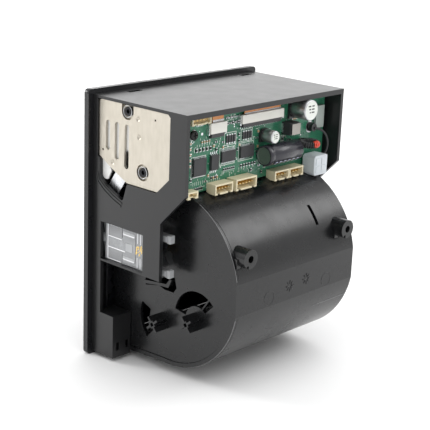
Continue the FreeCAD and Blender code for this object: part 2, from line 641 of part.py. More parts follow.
def latch_cover():
    """White moulded cover on the lever, with a rounded nose beside the platen's end."""
    nose = [polar(6.8, 26.8, 2.7, a) for a in range(180, 301, 15)]
    outline = [(4.1, 53.6), (4.1, 33.0)] + nose + [(10.4, 28.9), (9.7, 30.2), (22.6, 42.0), (29.4, 42.6),
                                                  (29.4, 53.6)]
    plate = side_prism(outline, LATCH_X1, COVER_X1)
    hub = rod_x(LATCH_PIVOT_Y, LATCH_PIVOT_Z, 3.9, LATCH_X1, COVER_X1)
    return fuse([plate, hub]).cut(rod_x(LATCH_PIVOT_Y, LATCH_PIVOT_Z, 1.55, 50, 54))


def latch_pin():
    """Rivet that carries the lever, closed into the side plate."""
    y, z = LATCH_PIVOT_Y, LATCH_PIVOT_Z
    return fuse([rod_x(y, z, 1.5, LATCH_X0 - 0.3, PLATE_X0),
                 rod_x(y, z, 2.6, LATCH_X0 - 0.9, LATCH_X0 - 0.3)])


# ---- feed key and status light ----------------------------------------------------------
def feed_button():
    cap = rod_y(FEED_X, FEED_Z, 3.5, -4.6, -1.4)
    cap = cap.makeFillet(0.6, [e for e in cap.Edges if e.BoundBox.YMax < -4.5])
    return fuse([cap, rod_y(FEED_X + 1.6, FEED_Z, 1.2, -1.4, 3.2)])


def feed_switch():
    x = FEED_X + 1.6
    return fuse([box(x - 3, x + 3, 4.6, 7.6, FEED_Z - 3, FEED_Z + 3), rod_y(x, FEED_Z, 1.6, 4.3, 4.6)])


def status_lens():
    return fuse([rod_y(FEED_X, LENS_Z, 2.0, -3.5, -SEAT_DEPTH),
                 rod_y(FEED_X + 0.9, LENS_Z, 1.5, -SEAT_DEPTH, 7.6)])


def key_board():
    return box(-52.9, -46.9, 7.6, 9.2, -12, 16)


# ---- main board ---------------------------------------------------------------------------
def on_board(x0, x1, z0, z1, height):
    return box(x0, x1, BOARD_Y1, BOARD_Y1 + height, z0, z1)


def main_board():
    board = box(BOARD_X0, BOARD_X1, BOARD_Y0, BOARD_Y1, BOARD_Z0, BOARD_Z1)
    return cut(board, [rod_y(x, z, 1.6, 50, 53) for x, z in BOARD_SCREWS])


def board_screws():
    return [screw_y(x, z, 2.3, 1.2, BOARD_Y1, 48.2) for x, z in BOARD_SCREWS]


def controller_chip():
    return on_board(34.0, 42.0, 32.8, 40.8, 1.4)


def driver_chips():
    return [on_board(26.0, 30.8, 34.0, 41.0, 1.6), on_board(14.4, 23.6, 36.6, 41.6, 1.3),
            on_board(1.6, 10.8, 36.8, 42.2, 1.3)]


def resistor_arrays():
    """Two rows of four small chip resistors."""
    solids = []
    for x0, z0 in ((14.2, 45.4), (3.0, 45.6)):
        for i in range(4):
            solids.append(on_board(x0 + i * 1.7, x0 + i * 1.7 + 1.1, z0, z0 + 3.4, 0.6))
    return solids


def ribbon_connector(x0, x1, z0, z1):
    """Flat-cable socket with an open slot along its top."""
    body = on_board(x0, x1, z0, z1, 2.6)
    return body.cut(box(x0 + 1.2, x1 - 1.2, BOARD_Y1 + 1.0, BOARD_Y1 + 1.7, z0 + 1.5, z1 + 1))


def connector_latch(x0, x1, z0, z1):
    return on_board(x0, x1, z0, z1, 2.0)


def ribbon(x0, x1, z0, z1):
    return box(x0, x1, BOARD_Y1 + 1.2, BOARD_Y1 + 1.5, z0, z1)


def drum_clearance():
    """Space that the drum takes below the board's sockets."""
    return rod_x(BUCKET_Y, BUCKET_Z, BUCKET_R + 0.1, -60, 60)


def header(x0, x1, z0, z1, depth, pins):
    """Open-mouthed pin header: a thin-walled shroud round a row of pins."""
    wall = 0.8
    shroud = on_board(x0, x1, z0, z1, depth)
    mouth = box(x0 + wall, x1 - wall, BOARD_Y1 + 1.6, BOARD_Y1 + depth + 1, z0 + wall, z1 - wall)
    keyway = [box(x, x + 1.6, BOARD_Y1 + 2.6, BOARD_Y1 + depth + 1, z0 - 1, z0 + wall)
              for x in (x0 + 1.7, x1 - 3.3)]
    shroud = cut(shroud, [mouth] + keyway)
    shroud = shroud.cut(drum_clearance())
    pitch = (x1 - x0 - 2 * wall) / pins
    mid = (z0 + z1) / 2
    row = [box(x0 + wall + pitch * (i + 0.5) - 0.25, x0 + wall + pitch * (i + 0.5) + 0.25,
               BOARD_Y1 + 1.0, BOARD_Y1 + depth - 1.2, mid - 0.25, mid + 0.25) for i in range(pins)]
    return fuse([shroud] + row)


def power_connector():
    shroud = on_board(-45.0, -34.8, 22.3, 32.3, 9.5).cut(drum_clearance())
    mouth = box(-43.8, -36.0, BOARD_Y1 + 2.5, BOARD_Y1 + 10, 23.7, 31.1)
    pins = [box(x - 0.5, x + 0.5, BOARD_Y1 + 2, BOARD_Y1 + 8, z - 0.5, z + 0.5)
            for x in (-41.9, -37.9) for z in (25.6, 29.2)]
    posts = [box(-40.4, -39.4, BOARD_Y1 + 2, BOARD_Y1 + 9.5, 23.7, 31.1)]
    return fuse([shroud.cut(mouth)] + pins + posts)


def can_capacitor(x, z, radius, end_y):
    base = box(x - radius, x + radius, BOARD_Y1, BOARD_Y1 + 1.0, z - radius, z + radius)
    can = rod_y(x, z, radius, BOARD_Y1 + 1.0, end_y)
    rim = [e for e in can.Edges if e.BoundBox.YMin > end_y - 0.01]
    can = can.makeFillet(0.6, rim)
    groove = rod_y(x, z, radius + 1, BOARD_Y1 + 2.4, BOARD_Y1 + 3.0).cut(
        rod_y(x, z, radius - 0.35, BOARD_Y1 + 2.4, BOARD_Y1 + 3.0))
    return fuse([base, can]).cut(groove)


LYING_Y = 58.0
LYING_Z = 37.0
LYING_R = 5.0


def bulk_capacitor():
    can = rod_x(LYING_Y, LYING_Z, LYING_R, -24.4, -0.6)
    can = can.makeFillet(0.8, [e for e in can.Edges if e.BoundBox.XLength < 0.01])
    groove = rod_x(LYING_Y, LYING_Z, LYING_R + 1, -3.6, -2.8).cut(
        rod_x(LYING_Y, LYING_Z, LYING_R - 0.4, -3.6, -2.8))
    return can.cut(groove)


def power_inductor():
    return fuse([on_board(-26.0, -19.3, 44.2, 50.2, 5.4), on_board(-25.4, -19.9, 44.8, 49.6, 6.3)])


CHOKE_X = -31.9
CHOKE_Y = 59.0
CHOKE_Z = 39.0
CHOKE_RING_R = 4.5
CHOKE_WIRE_R = 1.8


def choke_core():
    ring = Part.makeTorus(CHOKE_RING_R, CHOKE_WIRE_R, Vec(CHOKE_X, CHOKE_Y, CHOKE_Z), Vec(0, 0, 1))
    legs = [rod_y(CHOKE_X + dx, CHOKE_Z, 0.4, BOARD_Y1, CHOKE_Y - 4.2) for dx in (-1.6, 1.6)]
    return fuse([ring] + legs)


def thermal_pad():
    return on_board(-49.8, -43.6, 44.0, 55.2, 1.6)


def ground_wire():
    """Short wire from the right-hand board screw down to the power socket's outer side."""
    top = Vec(-40.7, 55.6, 44.6)
    middle = Vec(-46.6, 57.4, 42.0)
    bottom = Vec(-46.2, 57.4, 30.0)
    path = Part.Wire(Part.Arc(top, middle, bottom).toShape())
    start_direction = Vec(middle.x - top.x, middle.y - top.y, middle.z - top.z + 3.0)
    ring = Part.Wire(Part.Circle(top, start_direction, 0.6).toShape())
    eyelet = rod_y(BOARD_SCREWS[1][0], BOARD_SCREWS[1][1], 2.0, BOARD_Y1 + 1.35, BOARD_Y1 + 3.0)
    return [path.makePipeShell([ring], True, False), eyelet]


# ---- build ------------------------------------------------------------------------------
def main():
    save("front_bezel", front_bezel())
    save("hinge_pins", hinge_pins())
    save("tear_bar", tear_bar())
    save("main_shell", fuse([main_shell()] + gear_window_lips()))
    save("side_plate_near", side_plate(True))
    save("side_plate_far", side_plate(False))
    save("side_plate_screws", side_plate_screws())
    save("plate_standoffs", plate_standoffs())
    save("paper_bucket", paper_bucket())
    save("bucket_end_wall", bucket_end_wall())

    save("front_door", front_door())
    save("platen_carrier", platen_carrier())
    save("platen_bushes", platen_bushes())
    save("platen_shaft", platen_shaft())
    save("platen_rubber", platen_rubber())
    save("platen_gear", platen_gear())

    save("mech_chassis", mech_chassis())
    save("spring_beam", spring_beam())
    save("head_springs", head_springs())
    save("head_pivot_rod", head_pivot_rod())
    save("head_ceramic", head_ceramic())
    save("head_heatsink", head_heatsink())
    save("idler_post", idler_post())
    save("idler_gear", idler_gear())
    save("motor_can", motor_can())
    save("motor_shaft", motor_shaft())
    save("motor_pinion", motor_pinion())

    save("release_button", release_button())
    save("button_spring", button_spring())
    save("button_stud", button_stud())
    save("button_carrier", button_carrier())
    save("latch_lever", latch_lever())
    save("latch_cover", latch_cover())
    save("latch_pin", latch_pin())

    save("feed_button", feed_button())
    save("feed_switch", feed_switch())
    save("status_lens", status_lens())
    save("key_board", key_board())

    save("main_board", main_board())
    save("board_screws", board_screws())
    save("controller_chip", controller_chip())
    save("driver_chips", driver_chips())
    save("resistor_arrays", resistor_arrays())
    save("head_socket", ribbon_connector(-17.3, 12.0, 53.4, 57.6))
    save("sensor_socket", ribbon_connector(22.5, 33.0, 51.4, 56.4))
    save("socket_latches", [connector_latch(-16.0, 10.8, 51.4, 53.4),
                            connector_latch(23.4, 32.0, 49.4, 51.4)])
    save("flat_ribbons", [ribbon(-15.8, 9.8, 55.2, 61.1), ribbon(24.0, 31.2, 53.2, 61.1)])
    save("panel_socket", header(33.8, 46.0, 56.9, 60.9, 3.4, 5))
    save("corner_socket", header(42.0, 48.6, 23.9, 27.3, 4.6, 2))
    save("motor_socket", header(20.3, 32.2, 23.4, 28.3, 5.8, 5))
    save("serial_socket", header(4.3, 18.6, 23.2, 28.7, 6.2, 6))
    save("aux_sockets", [header(-19.9, -9.3, 23.2, 28.0, 5.8, 4), header(-30.6, -20.1, 23.2, 28.0, 5.8, 4)])
    save("power_socket", power_connector())
    save("can_capacitors", [can_capacitor(-28.2, 56.3, 5.1, 63.2), can_capacitor(-5.6, 45.7, 3.15, 60.6)])
    save("bulk_capacitor", bulk_capacitor())
    save("power_inductor", power_inductor())
    save("choke", choke_core())
    save("thermal_pad", thermal_pad())
    save("ground_wire", ground_wire())


main()
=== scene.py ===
"""Studio scene of a panel-mount receipt printer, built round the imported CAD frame."""
import bmesh
import bpy
import json
import math
import random
from mathutils import Matrix, Vector


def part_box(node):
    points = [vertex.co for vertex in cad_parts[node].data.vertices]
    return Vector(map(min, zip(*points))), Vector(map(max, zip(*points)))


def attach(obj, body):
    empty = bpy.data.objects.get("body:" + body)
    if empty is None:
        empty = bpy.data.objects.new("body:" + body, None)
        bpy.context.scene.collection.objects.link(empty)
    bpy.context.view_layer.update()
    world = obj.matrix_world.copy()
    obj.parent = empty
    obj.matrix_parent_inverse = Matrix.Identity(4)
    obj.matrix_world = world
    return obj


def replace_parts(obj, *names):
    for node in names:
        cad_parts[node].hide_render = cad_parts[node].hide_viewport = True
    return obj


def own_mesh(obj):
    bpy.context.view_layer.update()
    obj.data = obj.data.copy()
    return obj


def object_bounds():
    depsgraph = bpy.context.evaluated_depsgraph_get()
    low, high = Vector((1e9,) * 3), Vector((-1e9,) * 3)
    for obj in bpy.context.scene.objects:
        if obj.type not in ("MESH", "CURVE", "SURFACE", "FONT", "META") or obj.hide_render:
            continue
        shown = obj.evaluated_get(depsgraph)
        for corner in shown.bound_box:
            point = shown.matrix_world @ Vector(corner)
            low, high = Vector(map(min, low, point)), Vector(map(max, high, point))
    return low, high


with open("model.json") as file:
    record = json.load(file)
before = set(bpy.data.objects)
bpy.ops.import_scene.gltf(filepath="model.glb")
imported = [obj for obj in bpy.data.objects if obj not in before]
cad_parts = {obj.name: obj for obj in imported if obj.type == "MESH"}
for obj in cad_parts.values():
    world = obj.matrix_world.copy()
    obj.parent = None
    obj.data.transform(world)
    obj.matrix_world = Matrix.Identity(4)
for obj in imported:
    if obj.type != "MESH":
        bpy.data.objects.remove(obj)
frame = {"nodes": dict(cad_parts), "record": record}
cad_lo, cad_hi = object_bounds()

MM = 0.001
WORLD_FILL = 0.85
NODES = frame["nodes"]


# ---- camera -------------------------------------------------------------------
def make_camera():
    azimuth, elevation, roll = (math.radians(v) for v in (132.961, 16.634, 2.195))
    forward = Vector((-math.sin(azimuth) * math.cos(elevation),
                      math.cos(azimuth) * math.cos(elevation), -math.sin(elevation)))
    right = forward.cross(Vector((0, 0, 1))).normalized()
    up = right.cross(forward)
    side = math.cos(roll) * right + math.sin(roll) * up
    top = -math.sin(roll) * right + math.cos(roll) * up
    data = bpy.data.cameras.new("studio_camera")
    data.lens = 96.82
    data.sensor_width = 36.0
    data.clip_start, data.clip_end = 0.01, 20.0
    camera = bpy.data.objects.new("studio_camera", data)
    place = Matrix((side, top, -forward)).transposed().to_4x4()
    place.translation = (0.40245, 0.40337, 0.16560)
    camera.matrix_world = place
    bpy.context.collection.objects.link(camera)
    bpy.context.scene.camera = camera


make_camera()


# ---- studio -------------------------------------------------------------------
def area_light(name, place, aim, size, power, colour=(1, 1, 1)):
    data = bpy.data.lights.new(name, "AREA")
    data.shape = "RECTANGLE"
    data.size, data.size_y = size
    data.energy = power
    data.color = colour
    lamp = bpy.data.objects.new(name, data)
    lamp.location = place
    lamp.rotation_euler = (Vector(aim) - Vector(place)).to_track_quat("-Z", "Y").to_euler()
    bpy.context.collection.objects.link(lamp)
    lamp.visible_camera = False
    return lamp


def make_studio():
    world = bpy.data.worlds.new("studio")
    world.use_nodes = True
    tree = world.node_tree
    sky = tree.nodes["Background"]
    sky.inputs["Color"].default_value = (1.0, 1.0, 1.0, 1.0)
    seen = tree.nodes.new("ShaderNodeLightPath")
    level = tree.nodes.new("ShaderNodeMapRange")
    level.inputs["To Min"].default_value = WORLD_FILL
    tree.links.new(seen.outputs["Is Camera Ray"], level.inputs["Value"])
    tree.links.new(level.outputs["Result"], sky.inputs["Strength"])
    bpy.context.scene.world = world
    bpy.context.scene.view_settings.view_transform = "Standard"
    sun = bpy.data.lights.new("top_light", "SUN")
    sun.energy = 0.9
    sun.angle = math.radians(60)
    overhead = bpy.data.objects.new("top_light", sun)
    overhead.rotation_euler = Vector((-0.10, 0.30, 1.0)).to_track_quat("Z", "Y").to_euler()
    bpy.context.collection.objects.link(overhead)
    area_light("key_light", (0.45, -0.80, 0.35), (0.05, 0.03, 0), (0.25, 0.35), 3.6)
    area_light("rear_light", (-0.75, 0.50, 0.62), (0, 0.06, 0), (0.5, 0.35), 2.0)
    area_light("back_light", (-0.80, -0.74, 0.36), (0, 0.03, 0.05), (1.1, 0.4), 1.6)


make_studio()


# ---- materials ----------------------------------------------------------------
class Finish:
    """One procedural material: a Principled shader with its own small node graph."""

    def __init__(self, name, colour, rough, metal=0.0, **sockets):
        self.material = bpy.data.materials.new(name)
        self.material.use_nodes = True
        self.tree = self.material.node_tree
        self.shader = self.tree.nodes["Principled BSDF"]
        self.place = self.node("ShaderNodeTexCoord").outputs["Object"]
        self.colour = tuple(colour)
        self.shader.inputs["Base Color"].default_value = (*self.colour, 1.0)
        self.shader.inputs["Roughness"].default_value = rough
        self.shader.inputs["Metallic"].default_value = metal
        for key, value in sockets.items():
            self.shader.inputs[key.replace("_", " ")].default_value = value
        self.height = None
        self.paint = None

    def node(self, kind, inputs=None, **props):
        made = self.tree.nodes.new(kind)
        for key, value in props.items():
            setattr(made, key, value)
        for key, value in (inputs or {}).items():
            if isinstance(value, bpy.types.NodeSocket):
                self.tree.links.new(value, made.inputs[key])
            else:
                made.inputs[key].default_value = value
        return made

    def stretched(self, scale):
        return self.node("ShaderNodeMapping", {"Vector": self.place, "Scale": scale}).outputs[0]

    def noise(self, size_mm, detail=3.0, stretch=None):
        """Noise whose features are about size_mm across."""
        place = self.stretched(stretch) if stretch else self.place
        return self.node("ShaderNodeTexNoise", {
            "Vector": place, "Scale": 1.0 / (size_mm * MM), "Detail": detail,
        }).outputs["Fac"]

    def ramp(self, factor, low, high, low_at=0.35, high_at=0.65):
        made = self.node("ShaderNodeMapRange", {
            "Value": factor, "From Min": low_at, "From Max": high_at,
            "To Min": low, "To Max": high})
        return made.outputs["Result"]

    def mix(self, factor, first, second):
        made = self.node("ShaderNodeMix", data_type="RGBA")
        for socket, value in ((made.inputs[0], factor), (made.inputs[6], first),
                              (made.inputs[7], second)):
            if isinstance(value, bpy.types.NodeSocket):
                self.tree.links.new(value, socket)
            else:
                socket.default_value = (*value, 1.0) if isinstance(value, tuple) else value
        return made.outputs[2]

    def math(self, operation, first, second=0.0):
        return self.node("ShaderNodeMath", {0: first, 1: second}, operation=operation).outputs[0]

    def tint(self, factor, colour):
        """Paints colour where factor is high."""
        self.paint = self.mix(factor, self.paint or self.colour, tuple(colour))
        return self

    def mottle(self, size_mm, colour, amount=1.0, stretch=None):
        """Patches of colour about size_mm across."""
        factor = self.ramp(self.noise(size_mm, 3.0, stretch), 0.0, amount)
        return self.tint(factor, colour)

    def edge_highlights(self, colour, width_mm=0.25, amount=0.6):
        """Painted highlight: lighter where the surface turns within width_mm, as edges catch the
        light.
        """
        rounded = self.node("ShaderNodeBevel", {"Radius": width_mm * MM}, samples=4)
        true = self.node("ShaderNodeNewGeometry").outputs["Normal"]
        turn = self.node("ShaderNodeVectorMath", {0: rounded.outputs[0], 1: true},
                         operation="DOT_PRODUCT").outputs["Value"]
        edge = self.ramp(turn, amount, 0.0, 0.80, 0.995)
        broken = self.math("MULTIPLY", edge, self.ramp(self.noise(1.6), 0.5, 1.0))
        return self.tint(broken, colour)

    def rough_range(self, size_mm, low, high, stretch=None):
        value = self.ramp(self.noise(size_mm, 4.0, stretch), low, high)
        self.tree.links.new(value, self.shader.inputs["Roughness"])
        return self

    def bump(self, value, depth_mm):
        inputs = {"Height": value, "Distance": depth_mm * MM, "Strength": 1.0}
        if self.height:
            inputs["Normal"] = self.height
        self.height = self.node("ShaderNodeBump", inputs).outputs["Normal"]
        return self

    def grain(self, size_mm, depth_mm, stretch=None):
        return self.bump(self.noise(size_mm, 2.0, stretch), depth_mm)

    def done(self):
        if self.paint:
            self.tree.links.new(self.paint, self.shader.inputs["Base Color"])
        if self.height:
            self.tree.links.new(self.height, self.shader.inputs["Normal"])
        return self.material


def moulded(name, colour, light, rough, grain_mm=0.35, grain_depth=0.012, edge=0.5):
    """Satin moulded plastic: fine tool texture, faint flow mottling, painted highlights on the
    edges.
    """
    made = Finish(name, colour, rough[0], IOR=1.5)
    made.mottle(22.0, light, 0.5).mottle(3.0, light, 0.25)
    made.edge_highlights(tuple(min(1.0, 2.2 * c + 0.02) for c in light), amount=edge)
    made.rough_range(9.0, *rough).grain(grain_mm, grain_depth)
    return made.done()


def metal(name, colour, dark, rough, stretch=None, size=1.2, grain_mm=0.3, depth=0.004):
    """Metal with a faint drawn or cast texture, about size mm across."""
    made = Finish(name, colour, rough[0], 1.0)
    made.mottle(9.0, dark, 0.5).mottle(size, dark, 0.35, stretch)
    made.rough_range(size, *rough, stretch).grain(grain_mm, depth, stretch)
    return made.done()


# name: (colour, second colour, roughness range, then any of metal()'s other arguments)
METALS = {
    "nickel_steel": ((0.56, 0.52, 0.45), (0.50, 0.465, 0.395), (0.30, 0.44),
                     (1, 1, 0.25), 1.6, 0.5, 0.006),
    "bright_steel": ((0.72, 0.73, 0.75), (0.55, 0.56, 0.58), (0.22, 0.38), (1, 1, 0.12), 0.8),
    "black_screw": ((0.045, 0.045, 0.048), (0.02, 0.02, 0.022), (0.28, 0.42)),
    "board_screw": ((0.05, 0.05, 0.05), (0.02, 0.02, 0.02), (0.3, 0.45)),
    "head_aluminium": ((0.78, 0.79, 0.80), (0.66, 0.67, 0.68), (0.30, 0.45), (0.15, 1, 1)),
    "brass": ((0.83, 0.58, 0.22), (0.62, 0.40, 0.13), (0.20, 0.36)),
    "can_metal": ((0.66, 0.67, 0.68), (0.50, 0.51, 0.52), (0.36, 0.50)),
    "solder": ((0.80, 0.81, 0.82), (0.62, 0.63, 0.65), (0.22, 0.38)),
    "gold": ((0.85, 0.62, 0.24), (0.70, 0.48, 0.16), (0.2, 0.32)),
}

# name: (colour, lighter colour, roughness range, grain size and depth in mm, strength of the painted
# edge highlight)
HOUSINGS = {
    "bezel_plastic": ((0.007, 0.0075, 0.009), (0.011, 0.0115, 0.013), (0.26, 0.36)),
    "shell_plastic": ((0.0105, 0.0108, 0.0115), (0.013, 0.0133, 0.014), (0.295, 0.325)),
    "bucket_plastic": ((0.0055, 0.0058, 0.0065), (0.009, 0.0093, 0.010), (0.23, 0.29),
                       0.6, 0.006),
    "door_plastic": ((0.007, 0.0075, 0.009), (0.011, 0.0115, 0.013), (0.26, 0.36)),
    "block_shade": ((0.17, 0.17, 0.18), (0.24, 0.24, 0.25), (0.3, 0.4), 0.2, 0.003, 0.1),
    "block_mid": ((0.36, 0.37, 0.38), (0.47, 0.48, 0.49), (0.2, 0.3), 0.2, 0.003, 0.1),
    # white of the painted highlights on the inner edges of the clear release block
    "block_edge_highlight": ((0.80, 0.81, 0.83), (0.9, 0.9, 0.92), (0.15, 0.25), 0.2, 0.003, 0.1),
}

# fine-grained mouldings of the CAD nodes: (colour, lighter colour, roughness range)
MOULDINGS = {
    "platen_rubber": ((0.030, 0.030, 0.032), (0.05, 0.05, 0.052), (0.65, 0.80)),
    "dark_acetal": ((0.045, 0.045, 0.050), (0.07, 0.07, 0.075), (0.28, 0.38)),
    "white_acetal": ((0.86, 0.86, 0.84), (0.92, 0.92, 0.91), (0.22, 0.34)),
    "grey_plastic": ((0.13, 0.13, 0.135), (0.18, 0.18, 0.185), (0.38, 0.5)),
    "chip_black": ((0.030, 0.031, 0.033), (0.050, 0.051, 0.054), (0.48, 0.62)),
    "cream_nylon": ((0.72, 0.64, 0.42), (0.80, 0.73, 0.53), (0.36, 0.48)),
    "white_nylon": ((0.74, 0.73, 0.67), (0.82, 0.81, 0.76), (0.34, 0.46)),
    "latch_black": ((0.035, 0.035, 0.037), (0.055, 0.055, 0.058), (0.4, 0.5)),
    "sleeve_black": ((0.020, 0.020, 0.026), (0.032, 0.032, 0.042), (0.16, 0.26)),
    "choke_black": ((0.014, 0.014, 0.015), (0.030, 0.030, 0.032), (0.18, 0.34)),
    "thermal_pad": ((0.33, 0.38, 0.35), (0.42, 0.47, 0.44), (0.55, 0.7)),
    "wire_black": ((0.014, 0.014, 0.015), (0.028, 0.028, 0.030), (0.34, 0.46)),
    "head_glaze": ((0.14, 0.10, 0.07), (0.20, 0.15, 0.10), (0.12, 0.2)),
    "ribbon_film": ((0.62, 0.22, 0.05), (0.72, 0.30, 0.09), (0.24, 0.34)),
}

# the small parts that only this scene has: (colour, lighter colour, roughness range)
TRIMMINGS = {
    "part_tan": ((0.42, 0.27, 0.14), (0.55, 0.38, 0.22), (0.3, 0.45)),
    "part_black": ((0.012, 0.012, 0.013), (0.03, 0.03, 0.032), (0.25, 0.4)),
    # white of the board print, and of the can ends, where it is a painted reflection
    "ink_and_glare_white": ((0.72, 0.75, 0.70), (0.82, 0.84, 0.80), (0.5, 0.6)),
    "wire_red": ((0.62, 0.05, 0.025), (0.80, 0.12, 0.06), (0.2, 0.3)),
    "ferrite_grey": ((0.34, 0.32, 0.29), (0.44, 0.42, 0.39), (0.5, 0.65)),
    # darker nylon: painted shade at the bottom of the socket mouths
    "nylon_mouth_shade": ((0.50, 0.35, 0.15), (0.62, 0.46, 0.24), (0.4, 0.5)),
    "ribbon_grey": ((0.30, 0.28, 0.27), (0.46, 0.44, 0.43), (0.3, 0.42)),
    "sleeve_mark": ((0.42, 0.46, 0.62), (0.60, 0.64, 0.76), (0.3, 0.4)),
    "bung_green": ((0.055, 0.085, 0.065), (0.10, 0.14, 0.11), (0.4, 0.55)),
    # light grey of the painted highlights on the drum's lip and parting line
    "drum_line_highlight": ((0.17, 0.17, 0.175), (0.22, 0.22, 0.225), (0.25, 0.35)),
}


def make_materials():
    mats = {name: metal(name, *recipe) for name, recipe in METALS.items()}
    mats |= {name: moulded(name, *recipe) for name, recipe in HOUSINGS.items()}
    mats |= {name: moulded(name, *recipe, 0.25, 0.006, 0.35) for name, recipe in MOULDINGS.items()}
    mats |= {name: moulded(name, *recipe, 0.2, 0.004, 0.3) for name, recipe in TRIMMINGS.items()}
    return mats


MATS = make_materials()


def clear_plastic(name, colour, transmission, rough):
    made = Finish(name, colour, rough, IOR=1.49, Transmission_Weight=transmission)
    made.rough_range(2.5, rough, rough + 0.12).grain(1.4, 0.02)
    return made.done()


MATS["clear_plastic"] = clear_plastic("clear_plastic", (0.88, 0.90, 0.92), 0.70, 0.12)
MATS["lens_green"] = clear_plastic("lens_green", (0.30, 0.80, 0.42), 0.55, 0.25)
MATS["power_nylon"] = clear_plastic("power_nylon", (0.80, 0.85, 0.89), 0.30, 0.30)


def board_finish():
    """Solder mask over copper: tracks show lighter and stand a little proud."""
    made = Finish("board_green", (0.010, 0.105, 0.055), 0.3, Coat_Weight=0.4, Coat_Roughness=0.15)
    flat = made.stretched((1.0, 0.0, 1.0))
    cells = made.node("ShaderNodeTexVoronoi", {"Vector": flat, "Scale": 420.0},
                      feature="F1", distance="MANHATTAN").outputs["Distance"]
    steps = made.math("FRACT", made.math("MULTIPLY", cells, 9.0))
    tracks = made.ramp(steps, 0.0, 1.0, 0.42, 0.52)
    made.tint(tracks, (0.018, 0.190, 0.095))
    made.mottle(14.0, (0.030, 0.240, 0.130), 0.45)
    made.bump(tracks, 0.03).rough_range(4.0, 0.26, 0.40)
    return made.done()


MATS["board_green"] = board_finish()


# ---- finish of the CAD nodes --------------------------------------------------
SLOT_OF = {part["node"]: part["material_slot"] for part in frame["record"]["subparts"]}
for node_name, node_object in NODES.items():
    node_object.data.materials.clear()
    node_object.data.materials.append(MATS[SLOT_OF[node_name]])


def soften(width_mm, *nodes):
    """Rounds the sharp edges of CAD nodes with modifiers, so that they catch light."""
    for node in nodes:
        thing = NODES[node]
        thing.modifiers.new("weld", "WELD").merge_threshold = 1e-6
        flat = thing.modifiers.new("planar", "DECIMATE")
        flat.decimate_type = "DISSOLVE"
        flat.angle_limit = math.radians(0.5)
        round_edges(thing, width_mm)


def round_edges(thing, width_mm):
    edge = thing.modifiers.new("edge", "BEVEL")
    edge.width = width_mm * MM
    edge.segments = 2
    edge.limit_method = "ANGLE"
    edge.angle_limit = math.radians(35.0)
    edge.use_clamp_overlap = True


soften(0.35, "front_bezel", "front_door", "main_shell")
soften(0.15, "bucket_end_wall", "release_button", "button_carrier", "feed_button")
soften(0.12, "side_plate_near", "side_plate_far", "power_socket", "motor_socket",
       "serial_socket", "aux_sockets", "corner_socket", "panel_socket", "head_socket",
       "sensor_socket", "socket_latches", "latch_cover")
soften(0.10, "controller_chip", "driver_chips", "latch_lever", "thermal_pad")


